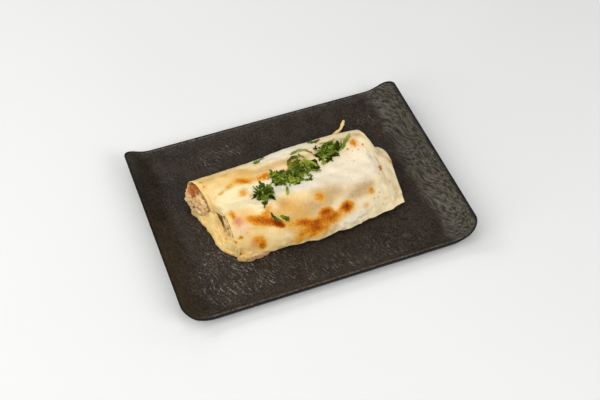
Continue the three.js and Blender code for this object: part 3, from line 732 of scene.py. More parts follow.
@dataclass(frozen=True)
class RunCheese:
    """Cheese and bechamel that ran out and set: buttery yellow, wet and lumpy, paler where it is thick."""

    butter: str = "ffcd74"
    cream: str = "ffde98"
    shade: str = "c29c5c"
    browned: str = "c8812c"
    fine_grain: float = 1.1
    lump: float = 4.5

    def build(self) -> bpy.types.Material:
        """Returns the material."""
        s = Surface("run_out_cheese_sauce")
        fine = s.add(Node.NOISE, s.place, per_mm(self.fine_grain), 3.0)
        broad = s.add(Node.NOISE, s.place, per_mm(self.lump), 2.0)
        white, thin, browned = (
            s.add(Node.ATTRIBUTE, attribute_name=kind.value)
            for kind in (Stain.WHITE, Stain.THIN, Stain.BROWNED)
        )
        thick = s.add(Node.EASE, s.add(Node.ADD, white, s.add(Node.LESS, broad, 0.5)), 0.0, 1.0)
        colour = s.add(Node.MIX, thick, self.butter, self.cream)
        # The thin layer mixes in the shade colour: painted shade on the spill's glob and fold troughs, a
        # grey-tan strip along its rim, and a light tint on the strand.
        colour = s.add(Node.MIX, thin, colour, self.shade)
        browned = s.add(Node.TIMES, browned, s.add(Node.EASE, fine, 0.3, 0.6))
        return s.finish(
            Base_Color=s.add(Node.MIX, browned, colour, self.browned), IOR=1.45,
            Roughness=s.add(Node.EASE, broad, 0.3, 0.7, 0.30, 0.46), Specular_IOR_Level=0.35,
            Normal=s.add(Node.BUMP, Height=fine, Distance=0.12 * MM),
            Subsurface_Weight=0.3, Subsurface_Radius=(1.0, 0.6, 0.3), Subsurface_Scale=0.003,
        )


@dataclass(frozen=True)
class ParsleyLeaf:
    """Chopped fresh parsley: thin waxy leaf, deep green on top, with paler veins and stems, and cut edges
    painted paler as a highlight.
    """

    deep: str = "1c2606"
    green: str = "465a0e"
    bright: str = "8a9a2c"
    pale: str = "c0c058"
    vein_width: float = 0.8

    def build(self) -> bpy.types.Material:
        """Returns the material."""
        s = Surface("chopped_parsley_leaf")
        fine = s.add(Node.NOISE, s.place, per_mm(self.vein_width), 2.0)
        tone = s.add(Node.TIMES, s.add(Node.LESS, fine, 0.5), 0.5)
        tone = s.add(Node.ADD, s.add(Node.ATTRIBUTE, attribute_name="fresh"), tone)
        colour = s.add(Node.RAMP, tone, stops=(
            (0.0, self.deep), (0.38, self.green), (0.7, self.bright), (1.0, self.pale),
        ))
        return s.finish(
            Base_Color=colour, Roughness=0.42, IOR=1.45, Specular_IOR_Level=0.1,
            Normal=s.add(Node.BUMP, Height=fine, Distance=0.12 * MM),
        )


PLATE_LAYERS = ("crest", "split", "wing", "wall", "lip_line", "inner_line")


@dataclass(frozen=True)
class SlateMelamine:
    """Compression-moulded melamine, pressed in a mould cast from split slate.

    It is near-black and half matt. Fine curved strokes and a leathery grain cover it, and wear shows on the
    crests as grey, with painted glints there and along the split strokes, a painted olive sheen on the right
    end's furrows and a painted highlight along the lip's crest.
    """

    body: str = "3c3228"
    dark: str = "1a140c"
    wear_and_glint: str = "7c7464"
    fleck_glint: str = "d2ccba"
    olive_sheen: str = "625e50"
    wall: str = "201e1c"
    edge: str = "8c867a"
    tan: str = "5a4a36"
    grit: float = 0.8
    leather: float = 1.5
    cloud: float = 14.0
    bend: float = 38.0  # distance over which strokes curve
    # Width, length, direction in degrees from X and sideways swing of the strokes and of the furrows.
    stroke: tuple[float, float, float, float] = (0.85, 5.0, -66.0, 30.0)
    furrow: tuple[float, float, float, float] = (1.7, 9.0, -55.0, 34.0)

    def strokes(self, s: Surface, width: float, length: float, turn: float, sway: float) -> Any:
        """Draws noise out into curved strokes.

        Args:
            s: The material.
            width: Width of a stroke in mm.
            length: Length of a stroke in mm.
            turn: Direction of the strokes in degrees from X.
            sway: How far they swing to the sides in mm.

        Returns:
            The socket of the noise, from 0 to 1.
        """
        drift = s.add(Node.DRIFT, s.place, per_mm(self.bend), 1.0)
        swung = s.add(Node.SWING, drift, (sway * MM, sway * MM, 0.0), s.place)
        turned = s.add(Node.TURN, Vector=swung, Angle=-math.radians(turn))
        drawn = s.add(Node.STRETCH, Vector=turned, Scale=(width / length, 1.0, 1.0))
        return s.add(Node.NOISE, drawn, per_mm(width), 2.0)

    def build(self) -> bpy.types.Material:
        """Returns the material."""
        s = Surface("slate_look_melamine")
        fine, leather, broad = (
            s.add(Node.NOISE, s.place, per_mm(size), detail)
            for size, detail in ((self.grit, 4.0), (self.leather, 3.0), (self.cloud, 3.0))
        )
        stroke, furrow = self.strokes(s, *self.stroke), self.strokes(s, *self.furrow)
        crest, split, wing, wall, lip_line, inner_line = (
            s.add(Node.ATTRIBUTE, attribute_name=name) for name in PLATE_LAYERS
        )
        tone = s.add(Node.ADD, s.add(Node.TIMES, leather, 0.7), s.add(Node.TIMES, broad, 0.3))
        colour = s.add(Node.MIX, s.add(Node.EASE, tone, 0.36, 0.64), self.dark, self.body)
        crest = s.add(Node.ADD, crest, s.add(Node.LESS, fine, 0.5))
        # Painted glints: the strokes are drawn bright where the slate split.
        bright = s.add(Node.TIMES, split, s.add(Node.EASE, stroke, 0.54, 0.72))
        bright = s.add(Node.TIMES, bright, s.add(Node.EASE, fine, 0.40, 0.62))
        broken = s.add(Node.TIMES, lip_line, s.add(Node.EASE, fine, 0.38, 0.6))
        # Grey wear on the crests, partly a painted glint; a painted olive sheen on the right end's furrows;
        # painted glints along the split strokes; the dark rim wall; a speckled painted highlight along the
        # lip's crest; a speckled tan line at the lip's foot.
        for share, tint in (
            (s.add(Node.EASE, crest, 0.3, 0.95, 0.0, 0.5), self.wear_and_glint),
            # Painted olive sheen on the right end's furrows.
            (s.add(Node.TIMES, wing, s.add(Node.EASE, furrow, 0.36, 0.64, 0.0, 0.75)), self.olive_sheen),
            (s.add(Node.TIMES, bright, 0.75), self.fleck_glint),
            (wall, self.wall),
            (s.add(Node.EASE, broken, 0.0, 1.0, 0.0, 0.8), self.edge),
            (s.add(Node.TIMES, inner_line, s.add(Node.EASE, fine, 0.35, 0.6)), self.tan),
        ):
            colour = s.add(Node.MIX, share, colour, tint)
        cut = s.add(Node.TIMES, stroke, s.add(Node.EASE, split, 0.0, 1.0, 0.3, 1.0))
        normal = s.add(Node.BUMP, Height=leather, Distance=0.30 * MM)
        for height, depth in ((cut, 0.42), (s.add(Node.TIMES, furrow, wing), 1.6), (fine, 0.12)):
            normal = s.add(Node.BUMP, Height=height, Distance=depth * MM, Normal=normal)
        return s.finish(
            Base_Color=colour, Roughness=s.add(Node.EASE, fine, 0.3, 0.7, 0.36, 0.54), Normal=normal,
            IOR=1.5, Specular_IOR_Level=s.add(Node.EASE, wall, 0.0, 0.8, 0.25, 0.08),
        )


@dataclass(frozen=True)
class CrackedPepper:
    """Specks of cracked pepper and herb baked into the sauce: dry, matt and dark brown."""

    dark: str = "5e3c1e"
    light: str = "a87846"
    grit: float = 0.9

    def build(self) -> bpy.types.Material:
        """Returns the material."""
        s = Surface("cracked_pepper")
        colour = s.add(Node.MIX, s.add(Node.NOISE, s.place, per_mm(self.grit), 2.0), self.dark, self.light)
        return s.finish(Base_Color=colour, Roughness=0.6, Specular_IOR_Level=0.1)


@dataclass(frozen=True)
class Tabletop:
    """Painted white board, smooth and matt."""

    paint: str = "f1f1ef"
    fresh: str = "f5f5f2"
    cloud: float = 400.0

    def build(self) -> bpy.types.Material:
        """Returns the material."""
        s = Surface("matt_white_paint")
        uneven = s.add(Node.NOISE, s.place, per_mm(self.cloud), 2.0)
        shade = s.add(Node.RAMP, uneven, stops=((0.3, self.paint), (0.7, self.fresh)))
        return s.finish(Base_Color=shade, Roughness=0.6)


class Finishes:
    """The materials, each built once."""

    def __init__(self) -> None:
        """Builds every material."""
        self.skin, self.meat, self.cheese = BakedSkin().build(), GroundMeat().build(), RunCheese().build()
        self.parsley, self.plate = ParsleyLeaf().build(), SlateMelamine().build()
        self.pepper, self.table = CrackedPepper().build(), Tabletop().build()


# ------------------------------------------------------------------ mesh tools


def unit_grid(bm: BMesh, columns: int, rows: int) -> list[tuple[BMVert, float, float]]:
    """Adds a flat grid to be moved into shape.

    Args:
        bm: Mesh to work on.
        columns: Faces along u.
        rows: Faces along v.

    Returns:
        Each vertex with its u and v, both from 0 to 1.
    """
    made = bmesh.ops.create_grid(bm, x_segments=columns, y_segments=rows, size=0.5)
    return [
        (vert, round((vert.co.x + 0.5) * columns) / columns, round((vert.co.y + 0.5) * rows) / rows)
        for vert in made["verts"]
    ]


def verts_in(made: dict[str, Any]) -> list[BMVert]:
    """Returns the vertices that an operator made."""
    return [item for item in made["geom"] if isinstance(item, BMVert)]


def slab(bm: BMesh, columns: int, rows: int) -> list[tuple[BMVert, float, float, bool]]:
    """Adds a closed sheet to be moved into shape.

    Args:
        bm: Mesh to work on.
        columns: Faces along u.
        rows: Faces along v.

    Returns:
        Each vertex with its u, its v and whether it is on top.
    """
    bmesh.ops.create_grid(bm, x_segments=columns, y_segments=rows, size=0.5)
    upper = set(verts_in(bmesh.ops.extrude_face_region(bm, geom=bm.faces[:])))
    return [(vert, vert.co.x + 0.5, vert.co.y + 0.5, vert in upper) for vert in bm.verts]


def add_layers(bm: BMesh, *names: str) -> list[Any]:
    """Returns a new vertex layer for each name, with one value for each vertex."""
    return [bm.verts.layers.float.new(name) for name in names]


def paint_coating(bm: BMesh) -> None:
    """Stores the strength of each kind of patch on the vertices of a baked piece.

    Args:
        bm: Mesh to work on.
    """
    layers = add_layers(bm, *(kind.value for kind in Stain))
    for vert in bm.verts:
        shares = COATING.at(vert.co)
        for kind, layer in zip(Stain, layers):
            vert[layer] = shares[kind]


def link(name: str, data: bpy.types.ID) -> bpy.types.Object:
    """Returns a new object with this data, linked to the scene."""
    thing = bpy.data.objects.new(name, data)
    bpy.context.scene.collection.objects.link(thing)
    return thing


@dataclass(frozen=True)
class Kitchen:
    """What every sub-assembly needs to finish its pieces."""

    finishes: Finishes

    def serve(
        self, name: str, bm: BMesh, material: bpy.types.Material, slot: str, *stands_for: str,
    ) -> None:
        """Turns a mesh in mm into a finished piece that rides on the part.

        Args:
            name: The piece's name.
            bm: Its mesh, which is freed.
            material: Its finish.
            slot: A material slot's name. It is not used.
            stands_for: CAD nodes that it replaces.
        """
        bmesh.ops.recalc_face_normals(bm, faces=bm.faces)
        open_edges = sum(not edge.is_manifold for edge in bm.edges)
        bmesh.ops.scale(bm, vec=Vector((MM, MM, MM)), verts=bm.verts)
        mesh = bpy.data.meshes.new(name)
        bm.to_mesh(mesh)
        bm.free()
        mesh.shade_smooth()
        mesh.materials.append(material)
        piece = link(name, mesh)
        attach(piece, "root")
        if stands_for:
            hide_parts(*stands_for)
        triangles = sum(len(face.vertices) - 2 for face in mesh.polygons)
        log.info("%s: %d triangles, %d open edges", name, triangles, open_edges)


# ------------------------------------------------------------------ the plate


@dataclass(frozen=True)
class ServingPlate:
    """Rectangular plate with a low lip along its sides and both short ends swept up, in mm."""

    length: float = 240.0
    width: float = 176.0
    corner_radius: float = 11.0
    floor_top: float = 6.0
    wing_rise: float = 14.0
    wing_run: float = 23.0
    wing_power: float = 1.8
    rim_inset: float = 0.9
    grid_step: float = 0.85
    lip: Stations = Stations(((0.9, 3.0), (3.0, 2.8), (4.75, 1.26), (6.5, 0.25), (9.0, 0.0)))
    lip_line: float = 2.0  # how far inside the rim a speckled painted highlight runs along the lip's crest
    inner_line: float = 4.1  # and how far a speckled tan line runs along its foot, stronger towards the front
    # Inset and height of each ring from the rim down the wall and under to the foot.
    wall: tuple[tuple[float, float], ...] = (
        (0.55, 8.95), (0.2, 8.7), (0.0, 8.3), (0.12, 7.7), (0.5, 6.4), (0.9, 5.2), (2.6, 3.5),
        (6.0, 2.6), (10.0, 2.1), (17.0, 2.0), (23.5, 2.0), (25.0, 0.5), (25.6, 0.0), (30.4, 0.0),
        (31.0, 0.5), (32.5, 2.0),
    )
    smallest_corner: float = 0.5
    grain_turn: float = -66.0  # direction of the slate's ridges, in degrees
    grain_swing: float = 16.0
    grain_width: float = 2.0
    grain_length: float = 8.0
    # Ovals where the slate split roughly: x, y, half sizes and strength.
    split_fields: tuple[tuple[float, float, float, float, float], ...] = (
        (-66.0, -56.0, 36.0, 30.0, 0.95), (-78.0, -20.0, 14.0, 26.0, 0.6), (-36.0, 70.0, 12.0, 9.0, 0.8),
        (-52.0, 62.0, 9.0, 14.0, 0.7), (-8.0, -72.0, 40.0, 12.0, 0.5), (50.0, -70.0, 26.0, 12.0, 0.35),
        (80.0, 60.0, 16.0, 14.0, 0.4),
    )

    def wing_share(self, x: float) -> float:
        """Returns how far the short ends have swept up at x, from 0 to 1."""
        start = self.length / 2 - self.wing_run
        return max(0.0, (abs(x) - start) / self.wing_run) ** self.wing_power

    def inset_at(self, x: float, y: float) -> float:
        """How far a place lies inside the rim.

        Args:
            x: Place along the rolls.
            y: Place across the rolls.

        Returns:
            Distance in mm, negative outside.
        """
        qx = abs(x) - self.length / 2 + self.corner_radius
        qy = abs(y) - self.width / 2 + self.corner_radius
        beyond = math.hypot(qx, qy) if qx > 0.0 and qy > 0.0 else max(qx, qy)
        return self.corner_radius - beyond

    def on_plan(self, u: float, v: float) -> tuple[float, float]:
        """Maps a square's point to the plate's rounded outline.

        Args:
            u: From 0 to 1 along the plate.
            v: From 0 to 1 across it.

        Returns:
            Its x and y.
        """
        radius = self.corner_radius - self.rim_inset
        x = (u * 2 - 1) * (self.length / 2 - self.rim_inset)
        y = (v * 2 - 1) * (self.width / 2 - self.rim_inset)
        core_x, core_y = self.length / 2 - self.corner_radius, self.width / 2 - self.corner_radius
        a, b = (abs(x) - core_x) / radius, (abs(y) - core_y) / radius
        if a > 0.0 and b > 0.0:
            x = math.copysign(core_x + radius * a * math.sqrt(1 - b * b / 2), x)
            y = math.copysign(core_y + radius * b * math.sqrt(1 - a * a / 2), y)
        return x, y

    def split_at(self, x: float, y: float) -> float:
        """How strongly the split-slate strokes show at a place.

        Args:
            x: Place along the rolls.
            y: Place across the rolls.

        Returns:
            Share from 0 to 1.
        """
        rest = 1.0
        for centre_x, centre_y, reach_x, reach_y, strength in self.split_fields:
            square = ((x - centre_x) / reach_x) ** 2 + ((y - centre_y) / reach_y) ** 2
            rest *= 1.0 - strength * math.exp(-square * square)
        rest *= 1.0 - 0.3 * self.wing_at(x, y)
        uneven = smoothstep(-0.45, 0.35, grain(Vector((x, y, 5.0)), 16.0, 3, 3.0))
        return (1.0 - 0.9 * rest) * (0.35 + 0.65 * uneven)

    def wing_at(self, x: float, y: float) -> float:
        """Returns how strongly the right end's furrows show at a place, from 0 to 1."""
        return smoothstep(93.0, 103.0, x + 4.0 * grain(Vector((x, y, 0.0)), 16.0, 3, 6.0))

    def crest(self, x: float, y: float) -> float:
        """How near a place is to the crest of a slate ridge.

        Args:
            x: Place along the rolls.
            y: Place across the rolls.

        Returns:
            Share from 0 to 1.
        """
        swing = self.grain_swing * grain(Vector((x, y, 0.0)), 90.0, 2, 9.0)
        angle = math.radians(self.grain_turn + swing)
        along = x * math.cos(angle) + y * math.sin(angle)
        across = y * math.cos(angle) - x * math.sin(angle)
        place = Vector((across / self.grain_width, along / self.grain_length, 0.3))
        ridge = 1.0 - min(1.0, abs(2.2 * noise.fractal(place, 0.9, 2.0, 3)))
        return ridge ** 3 * self.split_at(x, y)

    def top(self, x: float, y: float) -> float:
        """Upper face of the plate with its slate relief.

        Args:
            x: Place along the rolls.
            y: Place across the rolls.

        Returns:
            Its height.
        """
        share = self.wing_share(x)
        lip = self.lip.at(self.inset_at(x, y)) * (1.0 - share)
        broad = 0.22 * grain(Vector((x, y, 0.0)), 11.0, 3, 2.0)
        relief = lerp(0.30, 0.55, smoothstep(92.0, 104.0, x))
        return self.floor_top + lip + self.wing_rise * share + broad - 0.35 + relief * self.crest(x, y)

    def ring_point(self, base: Vector, inset: float) -> tuple[float, float]:
        """Moves a rim point to a ring further in.

        Args:
            base: Point on the rim.
            inset: How far inside the outline the ring lies.

        Returns:
            Its x and y.
        """
        core = Vector((self.length / 2 - self.corner_radius, self.width / 2 - self.corner_radius))
        nearest = Vector((max(-core.x, min(core.x, base.x)), max(-core.y, min(core.y, base.y))))
        outward = (Vector((base.x, base.y)) - nearest).normalized()
        point = nearest + outward * max(self.corner_radius - inset, self.smallest_corner)
        beyond = max(0.0, inset - self.corner_radius + self.smallest_corner)
        return (
            point.x * (1.0 - beyond / (core.x + self.smallest_corner)),
            point.y * (1.0 - beyond / (core.y + self.smallest_corner)),
        )

    def build(self, kitchen: Kitchen) -> None:
        """Builds and dresses the plate.

        Args:
            kitchen: Finishes the pieces.
        """
        bm = bmesh.new()
        crest, split, wing, wall, lip_line, inner_line = add_layers(bm, *PLATE_LAYERS)
        columns, rows = round(self.length / self.grid_step), round(self.width / self.grid_step)
        for vert, u, v in unit_grid(bm, columns, rows):
            x, y = self.on_plan(u, v)
            vert.co = (x, y, self.top(x, y))
            vert[crest], vert[split], vert[wing] = self.crest(x, y), self.split_at(x, y), self.wing_at(x, y)
            inset = self.inset_at(x, y)
            on_lip = 1.0 - self.wing_share(x)
            vert[wall] = 0.8 * smoothstep(2.4, 1.2, inset)
            wear_and_glint = 0.75 + 0.25 * grain(vert.co, 3.0, 2, 5.0)
            # A speckled painted highlight runs along the lip's crest.
            vert[lip_line] = on_lip * smoothstep(0.9, 0.2, abs(inset - self.lip_line)) * wear_and_glint
            uneven = smoothstep(-0.3, 0.3, grain(vert.co, 5.0, 3, 7.0)) * smoothstep(0.0, -30.0, y)
            vert[inner_line] = on_lip * uneven * smoothstep(1.0, 0.3, abs(inset - self.inner_line))
        rim = [edge for edge in bm.edges if edge.is_boundary]
        origin: dict[tuple[float, ...], Vector] = {}
        for inset, height in self.wall:
            made = bmesh.ops.extrude_edge_only(bm, edges=rim)
            rim = [item for item in made["geom"] if isinstance(item, BMEdge)]
            for vert in verts_in(made):
                base = origin.get(vert.co.to_tuple(4)) or vert.co.copy()
                x, y = self.ring_point(base, inset)
                share = self.wing_share(x)
                settled = height - max(0.0, height - self.floor_top) * share
                vert.co = (x, y, settled + self.wing_rise * share)
                origin[vert.co.to_tuple(4)] = base
                vert[wall] = 1.0
        bmesh.ops.holes_fill(bm, edges=rim, sides=0)
        kitchen.serve("serving_plate", bm, kitchen.finishes.plate, "plate_melamine", "plate")


# ------------------------------------------------------------------ pasta tubes


@dataclass(frozen=True)
class PathPoint:
    """One ring of a pasta tube: where it lies and how far the tube is closed there."""

    x: float
    inward: float
    pinch: float = 0.0


@dataclass(frozen=True)
class PastaTube:
    """One baked pasta tube with a cut left rim, in mm."""

    name: str
    node: str
    form: RollForm
    around: int
    rings: int
    sealed_right: bool
    hollow_right: float
    rim_steps: int = 5
    inner_rings: int = 20
    # Depth and closure of the sealed end's rings. Its pressed layers show as two shallow grooves.
    face: tuple[tuple[float, float], ...] = (
        (0.9, 0.0), (0.35, 0.05), (0.0, 0.14), (0.05, 0.3), (0.75, 0.38), (0.1, 0.46),
        (0.0, 0.64), (0.1, 0.78), (0.8, 0.84), (0.15, 0.9), (0.9, 1.0),
    )
    pocket: tuple[tuple[float, float], ...] = ((1.5, 1.0), (1.0, 0.6))  # and of the hollow behind it

    def rim(self, end: float, facing: float) -> list[PathPoint]:
        """Rounded rim from the outer skin to the inner one.

        Args:
            end: x of the rim's tip.
            facing: -1 for a left rim and 1 for a right one.

        Returns:
            The rings over the rim.
        """
        half = RIM_WALL / 2
        angles = [math.pi * step / self.rim_steps for step in range(self.rim_steps + 1)]
        return [
            PathPoint(end - facing * half * (1 - math.sin(angle)), half * (1 - math.cos(angle)))
            for angle in angles
        ]

    def path(self) -> list[PathPoint]:
        """Returns the rings of the tube from its inside, over the left rim, to its right end."""
        form, half, inner_right = self.form, RIM_WALL / 2, self.hollow_right
        inner = []
        for step in range(self.inner_rings):
            x = lerp(inner_right, form.left + half, (step / self.inner_rings) ** 0.4)
            wall = lerp(PASTA_WALL, RIM_WALL, smoothstep(form.left + 16.0, form.left + 1.0, x))
            inner.append(PathPoint(x, wall))
        outer = [
            PathPoint(lerp(form.left + half, form.right - half, ring / self.rings), 0.0)
            for ring in range(1, self.rings)
        ]
        middle = inner + self.rim(form.left, -1.0)[::-1] + outer
        if not self.sealed_right:
            return middle + self.rim(form.right, 1.0) + inner[:1]
        pocket = [PathPoint(inner_right + depth, PASTA_WALL, pinch) for depth, pinch in self.pocket]
        return pocket + middle + [PathPoint(form.right - depth, 0.0, pinch) for depth, pinch in self.face]

    def build(self, kitchen: Kitchen) -> None:
        """Builds and dresses the tube.

        Args:
            kitchen: Finishes the pieces.
        """
        form, path = self.form, self.path()
        bm = bmesh.new()
        for vert, u, v in unit_grid(bm, len(path) - 1, self.around):
            ring = path[round(u * (len(path) - 1))]
            cosine, sine = math.cos(TURN * v), math.sin(TURN * v)
            y, z = form.section(ring.x, cosine, sine, ring.inward)
            if ring.pinch:
                opposite = form.section(ring.x, cosine, -sine, ring.inward)[1]
                z = lerp(z, (z + opposite) / 2, ring.pinch)
            share = (ring.x - form.left) / (form.right - form.left)
            x = ring.x + form.rim_shift(y) * max(0.0, 1.0 - share) ** 2 + form.end_shift(y) * share ** 3
            near_rim = smoothstep(10.0, 0.0, ring.x - form.left)
            x += near_rim * (0.45 * grain(Vector((0.0, y, z)), 5.0, 2, 3.0) + 0.3)
            place = Vector((x, y, z))
            if ring.inward < RIM_WALL and sine > -0.3:
                lift = skin_relief(place, COATING.at(place)) * smoothstep(-0.3, 0.2, sine) - 0.25
                fade = (1.0 - ring.pinch) * (1.0 - ring.inward / RIM_WALL)
                place += Vector((0.0, cosine, sine)) * lift * fade
            vert.co = place
        bmesh.ops.remove_doubles(bm, verts=bm.verts, dist=0.001)
        paint_coating(bm)
        kitchen.serve(self.name, bm, kitchen.finishes.skin, "baked_pasta", self.node)


# ------------------------------------------------------------------ the meat


@dataclass(frozen=True)
class MeatCore:
    """Ground meat inside one roll, with domed ends of packed crumbs, in mm."""

    name: str
    node: str
    form: RollForm
    left: float
    right: float
    dome: float
    creaminess: float = 0.0
    around: int = 110
    body_rings: int = 16
    dome_rings: int = 26
    inward: float = PASTA_WALL + 0.35
    crumb: float = 2.6
    middle_z: float = 19.0
    hole: tuple[float, float, float] = (-83.2, 9.9, 15.8)
    spot: tuple[float, float, float] = (-80.2, 6.0, 21.8)

    def place(self, ring: float, angle: float) -> Vector:
        """Point on the smooth form.

        Args:
            ring: From -1 at the left tip to 1 at the right one, with the body between -0.5 and 0.5.
            angle: Place around the roll.

        Returns:
            The point.
        """
        share, beyond, radius = ring + 0.5, 0.0, 1.0
        if abs(ring) > 0.5:
            turn = (abs(ring) - 0.5) * math.pi
            share = 0.0 if ring < 0 else 1.0
            beyond, radius = math.copysign(math.sin(turn), ring), math.cos(turn)
        x = lerp(self.left + self.dome, self.right - self.dome, share) + beyond * self.dome
        near_rim = smoothstep(self.form.left + 18.0, self.form.left + 3.0, x)
        inward = lerp(self.inward, RIM_WALL + 0.15, near_rim)
        y, z = self.form.section(x, math.cos(angle) * radius, math.sin(angle) * radius, inward)
        if radius < 1.0 and math.sin(angle) < 0.0:
            low = self.form.section(x, math.cos(angle) * radius, 0.0, inward)[1]
            z = lerp(low, self.form.section(x, math.cos(angle), math.sin(angle), inward)[1], radius)
        return Vector((x + self.form.rim_shift(y) * (1.0 - share) ** 2, y, z))

    def build(self, kitchen: Kitchen) -> None:
        """Builds and dresses the meat.

        Args:
            kitchen: Finishes the pieces.
        """
        steps = [-1 + 0.5 * i / self.dome_rings for i in range(self.dome_rings)]
        steps += [-0.5 + i / self.body_rings for i in range(self.body_rings)]
        steps += [0.5 + 0.5 * i / self.dome_rings for i in range(self.dome_rings + 1)]
        bm = bmesh.new()
        crumb, pit_shade, cream, rust = add_layers(bm, "crumb", "pit_shade", "cream", "rust")
        middle = Vector((self.left + self.dome, self.form.ridge_y.at(self.left), self.middle_z))
        for vert, u, v in unit_grid(bm, len(steps) - 1, self.around):
            ring = steps[round(u * (len(steps) - 1))]
            place = self.place(ring, TURN * v)
            # Crumbs swell only on the domes, which are open. The body fits inside the tube.
            exposed = smoothstep(0.42, 0.6, abs(ring))
            out = (place - middle).normalized() if ring < 0 else Vector((1.0, 0.0, 0.0))
            away, tone = lumps(place, self.crumb, 1.0)
            fine_away, fine_tone = lumps(place, self.crumb * 0.5, 4.0)
            swell = (0.42 - away) * 2.9 + (0.42 - fine_away) * 1.1 + 0.7 * grain(place, 6.0, 2, 8.0)
            rim_x = self.form.left + self.form.rim_shift(place.y)
            groove = smoothstep(1.3, 0.3, abs(place.x - rim_x)) * smoothstep(0.74, 0.64, abs(ring))
            hole = smoothstep(2.2, 1.0, (place - Vector(self.hole)).length)
            vert.co = place + out * (swell - 0.3 - 0.3 * groove - 1.6 * hole) * exposed
            vert[crumb] = 0.6 * tone + 0.4 * fine_tone
            # Painted shade darkens the gaps between crumbs, the groove along the rim and the small hole.
            gaps = 0.85 * smoothstep(0.56, 0.84, away) + 0.3 * smoothstep(0.6, 0.88, fine_away)
            vert[pit_shade] = max(gaps, 0.5 * groove, hole)
            # Juices stained the upper back of the mouth, and sauce made its foot creamy.
            juice = smoothstep(24.0, 28.0, place.z + 2.5 * tone) * smoothstep(9.5, 15.0, place.y + 2.0 * tone)
            spot = 0.45 * smoothstep(2.6, 1.0, (place - Vector(self.spot)).length)
            specks = 0.3 * smoothstep(0.8, 0.95, fine_tone)
            vert[rust] = max((0.82 + 0.18 * fine_tone) * juice, spot, specks)
            vert[cream] = max(self.creaminess, 0.65 * smoothstep(20.0, 11.0, place.z + 3.0 * tone))
        bmesh.ops.remove_doubles(bm, verts=bm.verts, dist=0.01)
        kitchen.serve(self.name, bm, kitchen.finishes.meat, "meat_filling", self.node)


# ------------------------------------------------------------------ cheese


@dataclass(frozen=True)
class CheeseBlanket:
    """The melted sheet over both rolls, with edges that thin out into the pasta, in mm."""

    thickness: float = 1.3
    valley_z: float = 29.8
    valley_bottom_z: float = 21.0
    blend: float = 9.0
    valley_droop: float = 9.0
    inset: float = 1.0
    back_edge: float = 9.0
    front_edge: Stations = Stations(((-66, 14), (-40, 17.5), (0, 19.5), (40, 15), (70, 12)))
    right_edge: Stations = Stations((
        (-40, 58), (-12, 72), (0, 73.2), (8, 72.8), (14, 71.4), (19, 69), (24, 66.2), (36, 64.4),
    ))
    columns: int = 215
    rows: int = 112
    left_nose: float = 3.6
    lip_drop: float = 5.0
    lip_thickness: float = 2.2
    right_fade: float = 6.0
    long_fade: float = 8.0

    def top(self, x: float, y: float) -> float:
        """Upper face of the smooth sheet over a place in plan.

        Args:
            x: Place along the rolls.
            y: Place across the rolls.

        Returns:
            Its height.
        """
        end = BACK_ROLL.right_edge.at(y)
        past_end = smoothstep(end - 1.6, end + 2.2, x)
        back = BACK_ROLL.top(x, y)
        back = lerp(back + self.thickness, max(BED, back - self.lip_drop), past_end)
        front = FRONT_ROLL.top(x, y) + self.thickness
        droop = self.valley_droop * smoothstep(60.0, 74.0, x)
        in_valley = FRONT_ROLL.ridge_y.at(x) < y < BACK_ROLL.ridge_y.at(x)
        pool = self.valley_z - droop + 0.5 * waver(x, y, 3.0) if in_valley else BED
        return rounded_max(rounded_max(back, front, self.blend), pool, self.blend)

    def sides(self, u: float) -> tuple[float, float]:
        """Where the sheet's long edges lie.

        Args:
            u: Share of the sheet's length.

        Returns:
            y of the front edge and of the back one.
        """
        x = lerp(-66.0, 66.0, u)
        front = FRONT_ROLL.ridge_y.at(x) - self.front_edge.at(x) + 1.2 * waver(1.3 * x, 4.0, 6.0)
        return front, BACK_ROLL.ridge_y.at(x) + self.back_edge + waver(x, 0.0, 5.0)

    def left_edge(self, y: float) -> float:
        """Ragged left edge of the sheet.

        Args:
            y: Place across the rolls.

        Returns:
            Its x.
        """
        rims = [form.left + form.rim_shift(y) for form in (FRONT_ROLL, BACK_ROLL)]
        left = lerp(rims[0], rims[1], smoothstep(-12.0, 2.0, y)) + self.inset
        return left + 0.9 * grain(Vector((0.0, y, 0.0)), 6.0, 2, 7.0)

    def build(self, kitchen: Kitchen) -> None:
        """Builds and dresses the sheet.

        Args:
            kitchen: Finishes the pieces.
        """
        bm = bmesh.new()
        for vert, u, v, is_upper in slab(bm, self.columns, self.rows):
            front_y, back_y = self.sides(u)
            y = lerp(front_y, back_y, v)
            left, right = self.left_edge(y), self.right_edge.at(y)
            x = lerp(left, right, u)
            # The underside lies in the pasta, or at the bottom of the pool between the rolls.
            pooled = smoothstep(-16.0, -8.0, y) * (1.0 - smoothstep(4.0, 12.0, y))
            under = lerp(food_top(x, y) - 0.8, self.valley_bottom_z, pooled)
            top = self.top(x, y)
            # The left edge has a round nose and the others fade out.
            rise = rounded(u * (right - left) / self.left_nose)
            rise *= smoothstep(0.0, self.right_fade, (1.0 - u) * (right - left))
            rise *= smoothstep(0.0, self.long_fade, v * (back_y - front_y))
            rise *= smoothstep(0.0, self.long_fade, (1.0 - v) * (back_y - front_y))
            place = Vector((x, y, top))
            crown = top + skin_relief(place, COATING.at(place)) - 0.3
            # A thin lip hangs over the back roll's right end.
            end = BACK_ROLL.right_edge.at(y)
            hanging = smoothstep(end - 3.0, end, x) * smoothstep(-2.0, 4.0, y)
            under = min(lerp(under, max(under, top - self.lip_thickness), hanging), top - 1.0)
            vert.co = (x, y, lerp(under + 0.15, crown, rise) if is_upper else under)
        paint_coating(bm)
        kitchen.serve("melted_cheese_blanket", bm, kitchen.finishes.skin, "melted_cheese", "cheese_blanket")


BLANKET = CheeseBlanket()


